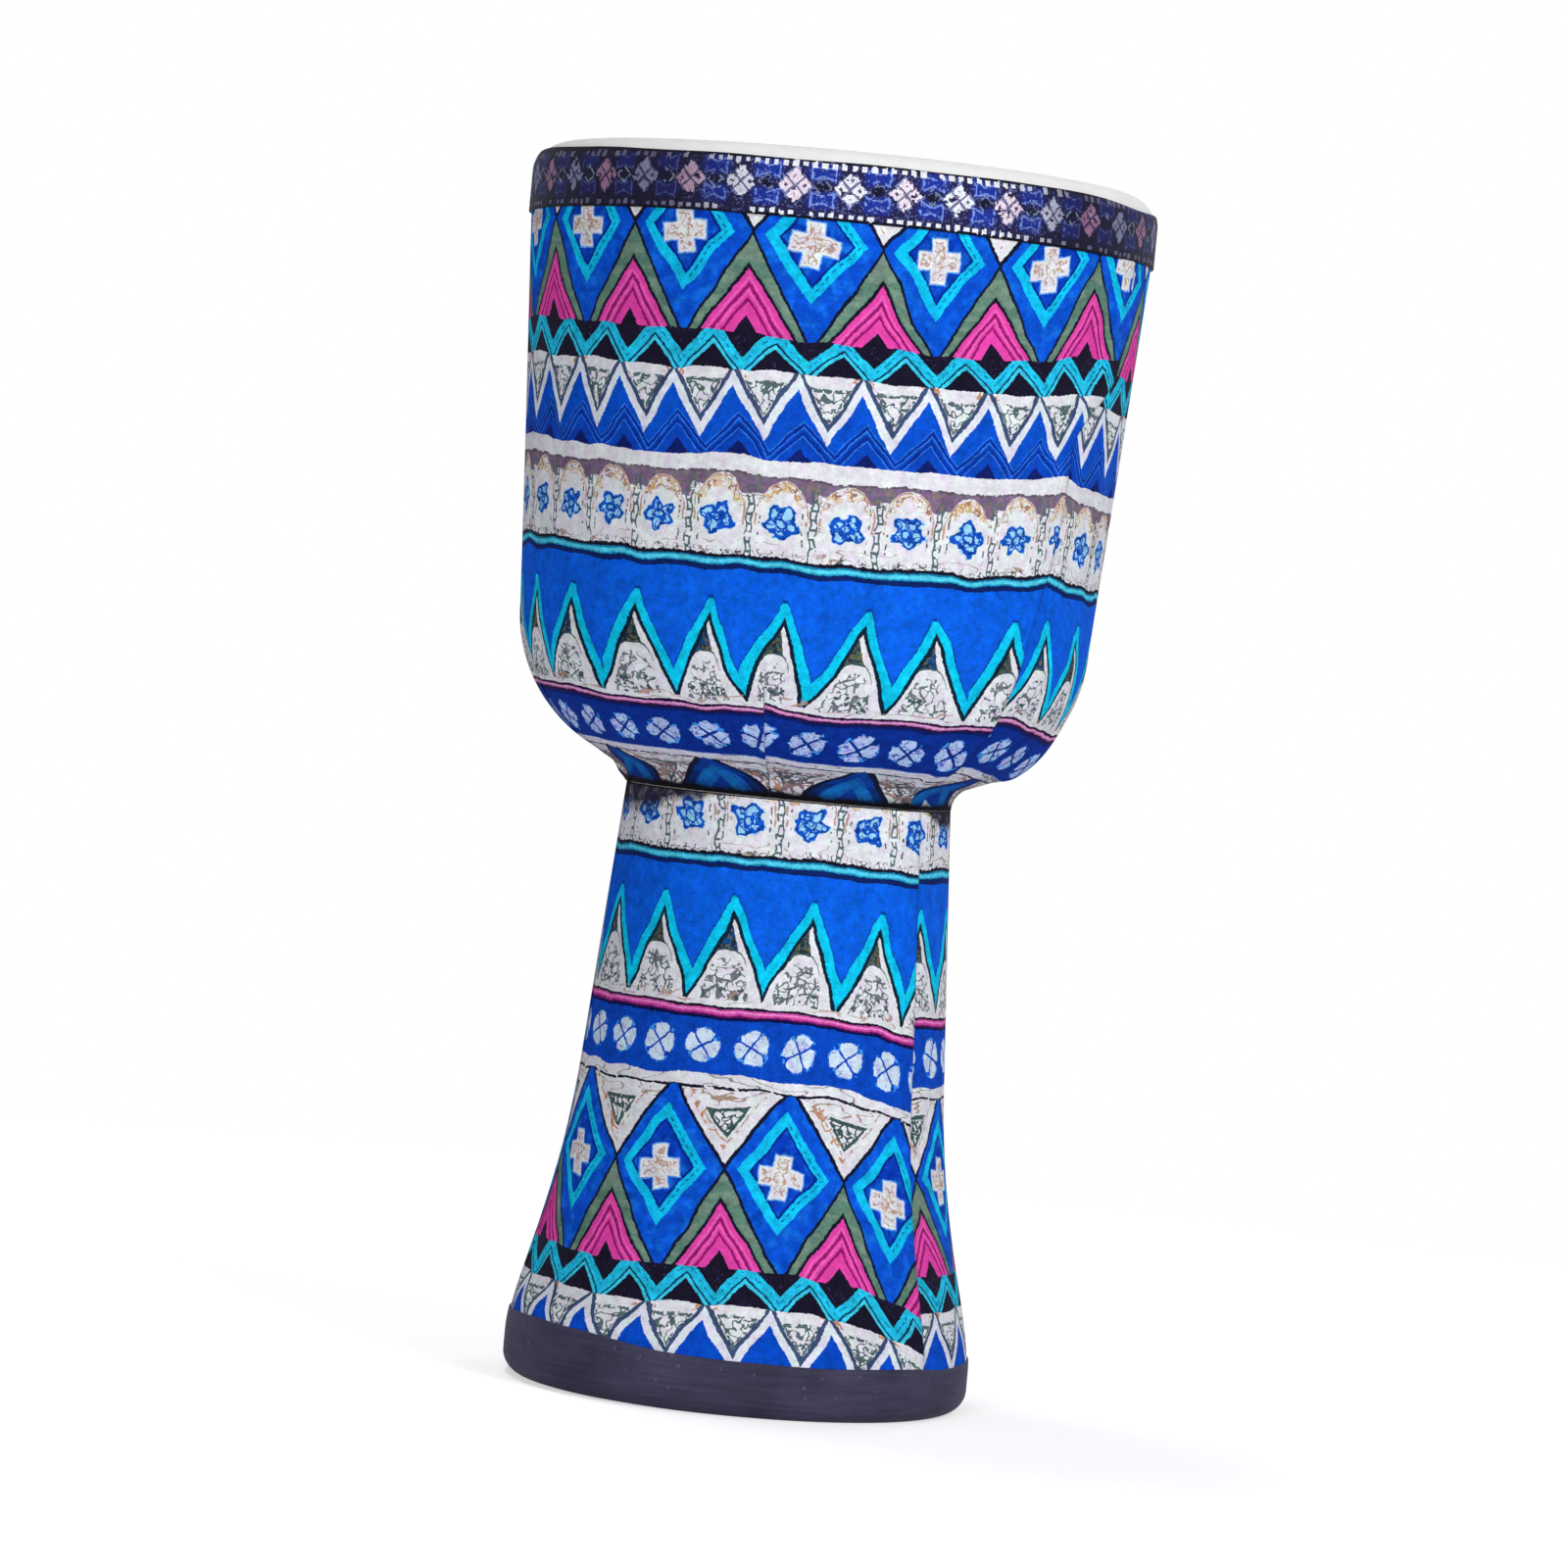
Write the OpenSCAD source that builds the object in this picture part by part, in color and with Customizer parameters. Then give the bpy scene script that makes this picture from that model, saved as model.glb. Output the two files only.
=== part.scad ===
// A small goblet hand drum: two heat-formed plastic shells joined at the neck,
// a skin stapled over the rim, printed cotton glued round both shells, a woven
// ribbon over the edge of the skin and a band round the foot.
// Origin: centre of the foot on the floor. +Z runs up the drum's axis.

/* [Overall] */
// Height from the floor to the top of the skin
drum_h = 400; // [390:1:420]
// Wall thickness of the two plastic shells
wall = 4; // [3:0.5:4.5]
// Thickness of the printed cotton
cloth_t = 0.6; // [0.4:0.1:1]

/* [Bowl] */
// Outside radius of the bowl shell at its rim
rim_r = 100.7; // [98:0.1:104]
// Outside radius of the bend that turns the rim inwards
rim_bend = 8.8; // [7:0.1:10]
// Height at which the tapered wall meets the straight rim
taper_top_z = 376; // [370:1:378]
// Outside radius of the bowl shell at the top of its shoulder
shoulder_r = 92.6; // [90:0.1:96]
// Height of the top of the shoulder
shoulder_z = 251; // [248:1:256]
// Outside radius of the shoulder bend
shoulder_bend = 49.4; // [46:0.1:52]

/* [Neck] */
// Outside radius of both shells at the neck
neck_r = 52.6; // [50:0.1:54]
// Outside radius of the inward bend between shoulder and neck
neck_bend = 8.6; // [7:0.1:10]
// Height of the bottom edge of the bowl's neck collar
collar_z = 186; // [182:1:190]
// Height of the top of the stem's spigot, inside the bowl
spigot_top_z = 212; // [210:1:216]
// Height at which the stem's bore has opened out below the spigot
bore_step_z = 172; // [165:1:176]

/* [Stem] */
// Outside radius of the stem shell where its flare starts
waist_r = 59.2; // [57:0.1:61]
// Height at which the flare starts
waist_z = 103; // [95:1:110]
// Outside radius of the stem shell at the foot
foot_r = 75; // [73:0.1:78]
// Outside radius of the bend that turns the foot inwards
foot_bend = 6; // [5:0.1:7]
// Width of the flat part of the lip under the foot
foot_lip = 6; // [4:0.5:8]

/* [Coverings] */
// Thickness of the skin
skin_t = 0.6; // [0.4:0.1:1]
// Height of the lower edge of the skin's skirt
skirt_z = 378.2; // [377.8:0.1:380]
// Thickness of the woven ribbon
ribbon_t = 1; // [0.6:0.1:1.5]
// Height of the lower edge of the ribbon
ribbon_z = 377.3; // [376.4:0.1:377.8]
// Steps of the rim bend that the ribbon covers, of 5 degrees each
ribbon_steps = 7; // [5:1:9]
// Thickness of the band round the foot
band_t = 1.2; // [1:0.1:2]
// Height of the upper edge of the foot band
band_top_z = 18; // [16:1:22]
// Height of the lower edge of the stem's cloth, under the band
cloth_end_z = 9; // [8:1:12]

/* [Staples] */
// How many staples hold the skirt
staple_n = 24; // [16:2:36]
// Length of a staple's crown
crown_w = 10; // [8:0.5:12]
// Thickness of the staple wire
wire_t = 0.5; // [0.4:0.1:0.5]
// Height of the wire, along the drum's axis
wire_h = 1.2; // [0.8:0.1:1.5]
// How deep a leg reaches behind the crown
leg_l = 3.4; // [2.4:0.1:3.6]
// How far a crown is sunk below the skirt's outside
crown_sink = 0.15; // [0.13:0.01:0.2]
// Height of the staples
staple_z = 385; // [382:1:388]

/* [Hidden] */
$fn = 96;

// Number of straight steps along the rim bend and along the other bends
rim_steps = 18;
bend_steps = 6;
shoulder_steps = 14;
flare_steps = 12;

// The rim bend: its centre, and the top of the shell under the skin
rim_c = [rim_r - rim_bend, drum_h - skin_t - rim_bend];

// The shoulder bend, and the inward bend at the neck that touches it
shoulder_c = [shoulder_r - shoulder_bend, shoulder_z];
neck_c_r = neck_r + neck_bend;
bend_gap = shoulder_bend + neck_bend;
neck_c = [neck_c_r, shoulder_z - sqrt(pow(bend_gap, 2) - pow(neck_c_r - shoulder_c[0], 2))];
// Angle below level of the line from the shoulder's centre to the neck bend's
turn_a = atan2(shoulder_z - neck_c[1], neck_c_r - shoulder_c[0]);

// The gap between the two cloths at the crease of the neck
crease_gap = 0.3;
// The gap between the bowl's cloth and the skirt above it
skirt_gap = 0.2;

// The foot bend: its centre, above the band that passes under it
foot_c = [foot_r - foot_bend, band_t + foot_bend];
// Innermost point of the foot's lip
lip_r = foot_c[0] - foot_lip;

spigot_r = neck_r - wall;
bore_r = spigot_r - wall;

// How far the cement stops below the top of the spigot, and how far its surface
// sags between its two edges, each way
cement_drop = 1.5;
cement_sag = 1.2;

// Points along an arc of radius r about c, from angle a0 to a1, in n steps
function arc(c, r, a0, a1, n) =
    [for (i = [0:n]) let (a = a0 + (a1 - a0) * i / n) c + r * [cos(a), sin(a)]];

// A point on a cubic curve with end points p0 and p3, at t from 0 to 1
function cubic(p0, p1, p2, p3, t) =
    pow(1 - t, 3) * p0 + 3 * pow(1 - t, 2) * t * p1 + 3 * (1 - t) * t * t * p2 + pow(t, 3) * p3;

// The same points in the other order
function backwards(p) = [for (i = [len(p) - 1:-1:0]) p[i]];

// The bowl's wall from the start of the neck bend up to the top of the taper,
// off millimetres outside the shell's outer face. A negative off is inside.
function bowl_side(off) = concat(
    arc(neck_c, neck_bend - off, 180, 180 - turn_a, bend_steps),
    arc(shoulder_c, shoulder_bend + off, -turn_a, 0, shoulder_steps),
    [[rim_r + off, taper_top_z]]);

// The rim bend from the straight wall over to the top
function rim_side(off) = arc(rim_c, rim_bend + off, 0, 90, rim_steps);

// The stem's side from the foot bend up to the collar. The flare starts straight up
// from the foot and ends in line with the waist; these are the lengths of its two pulls.
foot_pull = 17;
waist_pull = [3.6, 48];
flare_low = [foot_r, foot_c[1] + foot_bend];
flare_low_pull = [foot_r, flare_low[1] + foot_pull];
flare_top_pull = [waist_r + waist_pull[0], waist_z - waist_pull[1]];
function stem_side(off) = [
    for (i = [0:flare_steps])
        cubic(flare_low, flare_low_pull, flare_top_pull, [waist_r, waist_z], i / flare_steps)
            + [off, 0],
    [neck_r + off, collar_z]];

// The bottom of the foot, from the flat lip round to the side
function foot_side(off) = concat(
    [[lip_r, foot_c[1] - foot_bend - off]],
    arc(foot_c, foot_bend + off, -90, 0, bend_steps));

// Bowl: a wide pipe, heated and drawn in to a shoulder and a neck collar at the
// bottom, with its rim bent inwards so that the skin runs over a smooth edge.
module bowl_shell() {
    nose_c = [rim_c[0], rim_c[1] + rim_bend - wall / 2];
    color([0.93, 0.93, 0.9])
    difference() {
        rotate_extrude()
            polygon(concat(
                [[neck_r, collar_z]],
                bowl_side(0),
                rim_side(0),
                arc(nose_c, wall / 2, 90, 270, bend_steps),
                backwards(rim_side(-wall)),
                backwards(bowl_side(-wall)),
                [[spigot_r, collar_z]]));
        skirt_staples();
    }
}

// Stem: a narrower pipe with a spigot that fits up inside the bowl's collar,
// flared to the foot, and open all the way through.
module stem_shell() {
    nose_c = [lip_r, foot_c[1] - foot_bend + wall / 2];
    color([0.93, 0.93, 0.9])
    rotate_extrude()
        polygon(concat(
            foot_side(0),
            stem_side(0),
            [[spigot_r, collar_z], [spigot_r, spigot_top_z], [bore_r, spigot_top_z],
             [bore_r, collar_z], [bore_at_step, bore_step_z]],
            backwards([for (p = stem_side(-wall)) if (p[1] < bore_step_z) p]),
            backwards(arc(foot_c, foot_bend - wall, -90, 0, bend_steps)),
            arc(nose_c, wall / 2, 90, 270, bend_steps)));
}
// The stem's bore where it has opened out to the full wall
bore_at_step = neck_r - wall
    + (waist_r - neck_r) * (collar_z - bore_step_z) / (collar_z - waist_z);

// Cement: a ring of solvent cement that fills the wedge between the spigot and
// the inside of the bowl's neck bend.
module neck_cement() {
    wedge = arc(neck_c, neck_bend + wall, 180, 180 - turn_a, bend_steps);
    seat = wedge[bend_steps];
    top = [spigot_r, spigot_top_z - cement_drop];
    sag = (seat + top) / 2 - [cement_sag, cement_sag];
    color([0.86, 0.8, 0.66])
    rotate_extrude()
        polygon(concat(
            [[spigot_r, wedge[1][1]]],
            [for (i = [1:bend_steps]) wedge[i]],
            [sag, top]));
}

// Drumhead: a skin stretched over the rim bend, with a skirt down the outside.
module drumhead() {
    color([0.95, 0.95, 0.94])
    difference() {
        rotate_extrude()
            polygon(concat(
                [[0, drum_h - skin_t]],
                backwards(rim_side(0)),
                [[rim_r, skirt_z], [rim_r + skin_t, skirt_z]],
                rim_side(skin_t),
                [[0, drum_h]]));
        skirt_staples();
    }
}

// Staples: flat-wire staples driven through the skirt into the shell, with
// each crown sunk just below the skirt's outside.
module skirt_staples() {
    crown_y = rim_r + skin_t - crown_sink - wire_t;
    color([0.7, 0.71, 0.72])
    for (i = [0:staple_n - 1])
        rotate([0, 0, 360 * (i + 0.5) / staple_n])
            translate([0, 0, staple_z - wire_h / 2])
                union() {
                    translate([-crown_w / 2, crown_y, 0]) cube([crown_w, wire_t, wire_h]);
                    for (side = [-1, 1])
                        translate([side * (crown_w - wire_t) / 2 - wire_t / 2, crown_y - leg_l, 0])
                            cube([wire_t, leg_l + wire_t, wire_h]);
                }
}

// Ribbon: a woven trim glued over the skirt and on over the edge of the rim.
module rim_ribbon() {
    cover = [for (i = [0:ribbon_steps]) i];
    inside = rim_side(skin_t);
    outside = rim_side(skin_t + ribbon_t);
    color([0.12, 0.12, 0.3])
    rotate_extrude()
        polygon(concat(
            [[rim_r + skin_t, ribbon_z], [rim_r + skin_t + ribbon_t, ribbon_z]],
            [for (i = cover) outside[i]],
            backwards([for (i = cover) inside[i]])));
}

// Bowl cloth: printed cotton glued from under the ribbon down to the crease of
// the neck.
module bowl_wrap() {
    top_z = skirt_z - skirt_gap;
    color([0.05, 0.36, 0.86])
    rotate_extrude()
        polygon(concat(
            bowl_side(cloth_t),
            [[rim_r + cloth_t, top_z], [rim_r, top_z]],
            backwards(bowl_side(0))));
}

// Stem cloth: printed cotton glued from the crease down to the foot, under the
// band.
module stem_wrap() {
    top_z = neck_c[1] - crease_gap;
    color([0.03, 0.35, 0.88])
    rotate_extrude()
        polygon(concat(
            [[foot_r + cloth_t, cloth_end_z]],
            stem_side(cloth_t),
            [[neck_r + cloth_t, top_z], [neck_r, top_z]],
            backwards(stem_side(0)),
            [[foot_r, cloth_end_z]]));
}

// Foot band: a dark strip glued round the foot and wrapped under its edge.
module foot_band() {
    band_r = foot_r + band_t;
    color([0.22, 0.21, 0.28])
    rotate_extrude()
        polygon(concat(
            foot_side(band_t),
            [[band_r, band_top_z], [foot_r + cloth_t, band_top_z],
             [foot_r + cloth_t, cloth_end_z], [foot_r, cloth_end_z]],
            backwards(foot_side(0))));
}

bowl_shell();
stem_shell();
neck_cement();
drumhead();
skirt_staples();
rim_ribbon();
bowl_wrap();
stem_wrap();
foot_band();
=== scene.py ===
# A small goblet hand drum, put together in the order it is made: the camera, the two
# plastic shells and what joins them, the skin and its staples, the printed cotton, the
# woven ribbon, the foot band, and last the floor and the lights.
import math

import bpy
import numpy as np
from mathutils import Matrix, Vector


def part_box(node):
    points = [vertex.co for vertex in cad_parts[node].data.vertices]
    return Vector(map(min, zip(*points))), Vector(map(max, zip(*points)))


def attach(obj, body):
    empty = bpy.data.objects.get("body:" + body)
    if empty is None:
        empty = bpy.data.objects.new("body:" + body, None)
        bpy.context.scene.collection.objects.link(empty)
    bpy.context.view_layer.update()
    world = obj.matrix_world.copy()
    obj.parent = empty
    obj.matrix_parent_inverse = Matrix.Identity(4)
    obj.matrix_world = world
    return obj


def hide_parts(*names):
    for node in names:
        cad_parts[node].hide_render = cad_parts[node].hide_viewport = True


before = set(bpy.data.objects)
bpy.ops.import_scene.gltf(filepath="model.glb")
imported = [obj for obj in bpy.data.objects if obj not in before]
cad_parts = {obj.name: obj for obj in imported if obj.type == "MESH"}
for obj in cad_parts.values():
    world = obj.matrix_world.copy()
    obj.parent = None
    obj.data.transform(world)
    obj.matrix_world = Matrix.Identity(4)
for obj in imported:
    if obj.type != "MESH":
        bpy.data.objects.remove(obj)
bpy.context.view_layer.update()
MM = 0.001

# --- Camera ---------------------------------------------------------------------------
# Straight in front, two metres off and a little above the drum's middle. It is rolled,
# so that the drum leans to the right in the picture.
eye = Vector((0.0, -2.03, 0.25))
target = Vector((-0.0019, 0.0, 0.1993))
lean = math.radians(5.4)

camera = bpy.data.objects.new("camera", bpy.data.cameras.new("camera"))
bpy.context.scene.collection.objects.link(camera)
camera.data.lens = 142.5
camera.data.sensor_width = 36.0
camera.data.clip_start = 0.05
camera.data.clip_end = 30.0
facing = (target - eye).to_track_quat("-Z", "Y").to_matrix().to_4x4()
camera.matrix_world = Matrix.Translation(eye) @ facing @ Matrix.Rotation(lean, 4, "Z")
bpy.context.scene.camera = camera


# --- Shells ---------------------------------------------------------------------------
# Bowl and stem are two lengths of off-white PVC pipe, heated and drawn to shape over a
# former. They show only inside the drum, from below. The CAD solids carry them.
class Value:
    """A shader value. A sign between two of them, or a number, adds a maths node."""

    def __init__(self, tree, socket):
        self.tree = tree
        self.socket = socket

    def __add__(self, other):
        return maths(self.tree, "ADD", self, other)

    def __radd__(self, other):
        return maths(self.tree, "ADD", other, self)

    def __sub__(self, other):
        return maths(self.tree, "SUBTRACT", self, other)

    def __rsub__(self, other):
        return maths(self.tree, "SUBTRACT", other, self)

    def __mul__(self, other):
        return maths(self.tree, "MULTIPLY", self, other)

    def __rmul__(self, other):
        return maths(self.tree, "MULTIPLY", other, self)

    def __truediv__(self, other):
        return maths(self.tree, "DIVIDE", self, other)

    def __abs__(self):
        return maths(self.tree, "ABSOLUTE", self)

    def __neg__(self):
        return maths(self.tree, "MULTIPLY", self, -1.0)

    def __lt__(self, other):
        return maths(self.tree, "LESS_THAN", self, other)

    def __gt__(self, other):
        return maths(self.tree, "GREATER_THAN", self, other)

    def power(self, other):
        return maths(self.tree, "POWER", self, other)

    def sine(self):
        return maths(self.tree, "SINE", self)

    def floor(self):
        return maths(self.tree, "FLOOR", self)

    def at_least(self, other):
        return maths(self.tree, "MAXIMUM", self, other)

    def at_most(self, other):
        return maths(self.tree, "MINIMUM", self, other)


def plug(tree, item, socket):
    """Puts a value, a socket or a plain number into a node's input."""
    if isinstance(item, Value):
        tree.links.new(item.socket, socket)
    elif isinstance(item, bpy.types.NodeSocket):
        tree.links.new(item, socket)
    else:
        socket.default_value = item


def maths(tree, kind, *items):
    node = tree.nodes.new("ShaderNodeMath")
    node.operation = kind
    for item, socket in zip(items, node.inputs):
        plug(tree, item, socket)
    return Value(tree, node.outputs[0])


def point(tree, x, y, z=0.0):
    """A vector from three values."""
    node = tree.nodes.new("ShaderNodeCombineXYZ")
    for item, socket in zip((x, y, z), node.inputs):
        plug(tree, item, socket)
    return node.outputs[0]


def split(tree, vector):
    """The three values of a vector or of a colour."""
    node = tree.nodes.new("ShaderNodeSeparateXYZ")
    tree.links.new(vector, node.inputs[0])
    return [Value(tree, out) for out in node.outputs]


def noise(tree, vector, scale, detail=2.0, colour=False):
    """Soft noise from 0 to 1, or its colour, whose three values are three noises."""
    node = tree.nodes.new("ShaderNodeTexNoise")
    plug(tree, vector, node.inputs["Vector"])
    node.inputs["Scale"].default_value = scale
    node.inputs["Detail"].default_value = detail
    return node.outputs["Color"] if colour else Value(tree, node.outputs[0])


def ink(red, green, blue):
    """A colour given from 0 to 255 as it looks, turned into the shader's own scale."""
    shown = [c / 255 for c in (red, green, blue)]
    return [c / 12.92 if c < 0.04 else ((c + 0.055) / 1.055) ** 2.4 for c in shown] + [1.0]


def over(tree, mask, top, under):
    """The colour top where mask is 1, and under where it is 0."""
    node = tree.nodes.new("ShaderNodeMix")
    node.data_type = "RGBA"
    plug(tree, mask, node.inputs[0])
    plug(tree, under, node.inputs[6])
    plug(tree, top, node.inputs[7])
    return node.outputs[2]


def tinted(tree, colour, value, green=1.0):
    """The colour made lighter or darker by a value about 1, its green a second time."""
    node = tree.nodes.new("ShaderNodeMix")
    node.data_type = "RGBA"
    node.blend_type = "MULTIPLY"
    node.inputs[0].default_value = 1.0
    plug(tree, colour, node.inputs[6])
    plug(tree, point(tree, value, value * green, value), node.inputs[7])
    return node.outputs[2]


def new_finish(name, roughness, **constants):
    """A material with its shader: (material, node tree, shader)."""
    material = bpy.data.materials.new(name)
    material.use_nodes = True
    tree = material.node_tree
    shader = tree.nodes["Principled BSDF"]
    shader.inputs["Roughness"].default_value = roughness
    for key, value in constants.items():
        shader.inputs[key.replace("_", " ")].default_value = value
    return material, tree, shader


def relief(tree, shader, height, distance, strength=1.0):
    """Bump on the shader, from a height of 0 to 1 that stands for distance metres."""
    node = tree.nodes.new("ShaderNodeBump")
    node.inputs["Strength"].default_value = strength
    node.inputs["Distance"].default_value = distance
    plug(tree, height, node.inputs["Height"])
    tree.links.new(node.outputs[0], shader.inputs["Normal"])


def place(tree):
    """Where the shaded point is, in millimetres."""
    coords = tree.nodes.new("ShaderNodeTexCoord")
    scaled = tree.nodes.new("ShaderNodeVectorMath")
    scaled.operation = "SCALE"
    scaled.inputs["Scale"].default_value = 1000.0
    tree.links.new(coords.outputs["Object"], scaled.inputs[0])
    return scaled.outputs[0]


def paint(node_name, material):
    """Gives a carried-over CAD node its material."""
    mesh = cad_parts[node_name].data
    mesh.materials.clear()
    mesh.materials.append(material)


def pipe_plastic():
    """Off-white PVC: faint rings from the former, a mottle from the heat, fine scuffs."""
    material, tree, shader = new_finish("pipe_plastic", 0.5)
    where = place(tree)
    x, y, z = split(tree, where)
    mottle = noise(tree, where, 0.05, 4.0)
    rings = noise(tree, point(tree, x * 0.02, y * 0.02, z * 0.6), 1.0, 3.0)
    scuffs = noise(tree, where, 1.6, 3.0)
    pale = ink(226, 225, 219)
    warm = ink(205, 200, 188)
    colour = over(tree, mottle * 0.6 + rings * 0.25, warm, pale)
    plug(tree, colour, shader.inputs["Base Color"])
    plug(tree, 0.36 + scuffs * 0.28, shader.inputs["Roughness"])
    relief(tree, shader, rings * 0.7 + scuffs * 0.3, 0.15 * MM)
    return material


pipe = pipe_plastic()
paint("bowl_shell", pipe)
paint("stem_shell", pipe)


# --- Neck joint -----------------------------------------------------------------------
# A bead of solvent cement, run round the spigot where it enters the bowl. It dries
# glossy and a little yellow, with small runs and bubbles.
def set_cement():
    material, tree, shader = new_finish("set_cement", 0.22, IOR=1.5)
    where = place(tree)
    runs = noise(tree, where, 0.12, 3.0)
    bubbles = noise(tree, where, 0.9, 1.0)
    colour = over(tree, runs, ink(216, 200, 160), ink(186, 164, 118))
    plug(tree, colour, shader.inputs["Base Color"])
    plug(tree, 0.16 + bubbles * 0.2, shader.inputs["Roughness"])
    relief(tree, shader, runs * 0.7 + bubbles * 0.3, 0.8 * MM)
    return material


paint("neck_cement", set_cement())


# --- Skin -----------------------------------------------------------------------------
# A bleached white skin, soaked, pulled over the inward bend of the rim and left to dry
# tight. Its skirt goes down the outside of the shell, under the ribbon.
rim_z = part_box("drumhead")[1].z / MM
skin_t = 0.6
rim_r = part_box("drumhead")[1].x / MM - skin_t
rim_bend = 8.8
skirt_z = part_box("drumhead")[0].z / MM


def surface(name, points, material, closed=False, marks=None, strips=0):
    """A smooth sheet through a grid of points in millimetres, rows by columns. closed
    joins the last column to the first. marks are vectors that the material reads.
    strips is into how many strips the sheet's flat layout is cut, one above another."""
    rows, columns = points.shape[:2]
    number = np.arange(rows * columns).reshape(rows, columns)
    if closed:
        number = np.hstack([number, number[:, :1]])
    corners = [number[:-1, :-1], number[:-1, 1:], number[1:, 1:], number[1:, :-1]]
    faces = np.stack([c.ravel() for c in corners], axis=1)
    mesh = bpy.data.meshes.new(name)
    mesh.from_pydata((points.reshape(-1, 3) * MM).tolist(), [], faces.tolist())
    mesh.shade_smooth()
    for key, values in (marks or {}).items():
        layer = mesh.attributes.new(key, "FLOAT_VECTOR", "POINT")
        layer.data.foreach_set("vector", values.reshape(-1).astype(np.float32))
    if strips:
        down, right = np.divmod(np.arange(len(faces)), number.shape[1] - 1)
        down = down[:, None] + [0, 0, 1, 1]
        per_strip = math.ceil((number.shape[1] - 1) / strips)
        strip = (right // per_strip)[:, None]
        right = (right % per_strip)[:, None] + [0, 1, 1, 0]
        flat_x = 0.005 + 0.99 * right / per_strip
        flat_y = (strip + 0.015 + 0.97 * down / (number.shape[0] - 1)) / strips
        layout = mesh.uv_layers.new(name="OFBake")
        layout.data.foreach_set("uv", np.stack([flat_x, flat_y], axis=2).ravel())
    mesh.materials.append(material)
    piece = bpy.data.objects.new(name, mesh)
    bpy.context.scene.collection.objects.link(piece)
    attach(piece, "root")
    return piece


def arc(centre, radius, start, end, steps):
    """Points on an arc, as (radius from the drum's axis, height)."""
    turn = np.radians(np.linspace(start, end, steps + 1))
    return [(centre[0] + radius * math.cos(a), centre[1] + radius * math.sin(a)) for a in turn]


def turned(profile, angles):
    """A grid of points: the profile's (radius, height) at each angle from the front, in
    degrees, positive to the drum's right."""
    radius, height = np.array(profile).T[:, :, None]
    a = np.radians(np.asarray(angles, float))[None, :]
    return np.stack([radius * np.sin(a), -radius * np.cos(a), height + 0 * a], axis=2)


def drum_skin():
    """White skin: a cloudy grain, faint veins and pores."""
    material, tree, shader = new_finish(
        "drum_skin", 0.6, Subsurface_Weight=0.06, Subsurface_Scale=0.002, Specular_IOR_Level=0.15
    )
    shader.inputs["Subsurface Radius"].default_value = (1.0, 0.8, 0.6)
    where = place(tree)
    cloud = noise(tree, where, 0.03, 5.0)
    grain = noise(tree, where, 0.7, 4.0)
    vein = noise(tree, where, 0.045, 3.0)
    vein = 1.0 - (abs(vein - 0.5) * 26.0).at_most(1.0)
    colour = over(tree, cloud * 0.8, ink(247, 248, 248), ink(240, 240, 238))
    colour = over(tree, vein * 0.14, ink(222, 217, 208), colour)
    plug(tree, colour, shader.inputs["Base Color"])
    plug(tree, 0.55 + grain * 0.25, shader.inputs["Roughness"])
    relief(tree, shader, grain * 0.6 + cloud * 0.4, 0.12 * MM)
    return material


def skin_profile(thick):
    """The skin's outline from the skirt's edge up over the rim to the middle."""
    bend = arc((rim_r - rim_bend, rim_z - skin_t - rim_bend), rim_bend + thick, 0, 90, 24)
    radii = list(np.linspace(rim_r - rim_bend, 1.5, 40)[1:]) + [0.2, 0.02]
    flat = [(r, rim_z - skin_t + thick) for r in radii]
    return [(rim_r + thick, skirt_z)] + bend + flat


skin_angles = np.arange(0, 360, 1.5)
skin_sides = skin_profile(skin_t) + skin_profile(0.0)[::-1]
skin_points = turned(skin_sides + skin_sides[:1], skin_angles)
drum_skin_piece = surface("drum_skin", skin_points, drum_skin(), closed=True)
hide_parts("drumhead")


# --- Staples --------------------------------------------------------------------------
# Flat galvanised wire staples that hold the skirt to the shell. The ribbon hides them.
def galvanised_wire():
    material, tree, shader = new_finish("galvanised_wire", 0.35, Metallic=1.0)
    where = place(tree)
    spangle = noise(tree, where, 1.2, 2.0)
    colour = over(tree, spangle, ink(196, 199, 202), ink(150, 153, 158))
    plug(tree, colour, shader.inputs["Base Color"])
    plug(tree, 0.28 + spangle * 0.25, shader.inputs["Roughness"])
    relief(tree, shader, spangle, 0.05 * MM)
    return material


paint("skirt_staples", galvanised_wire())


# --- Printed cotton -------------------------------------------------------------------
# Two lengths of the same cotton, printed with rows of hand-drawn motifs that repeat down
# the cloth. "u" runs round the drum and "v" down it, both in millimetres on the flat
# cloth; v is 0 at the widest level of the row of diamonds.
REPEAT = 201.0
DIAMOND_W = 41.0
ZIGZAG_W = DIAMOND_W / 2
MOUNTAIN_W = DIAMOND_W * 5 / 8
ROSETTE_W = DIAMOND_W * 2 / 5

# Where each row of the print starts, down the cloth
STRIPE_V = -29.0
DIAMOND_V = -25.5
BLACK_V = 32.0
ZIGZAG_V = 43.6
WAVE_V = 70.2
ARCH_V = 75.6
LINES_V = 101.0
FIELD_V = 106.0
STRIP_V = 147.6
ROSETTE_V = 153.4

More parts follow.
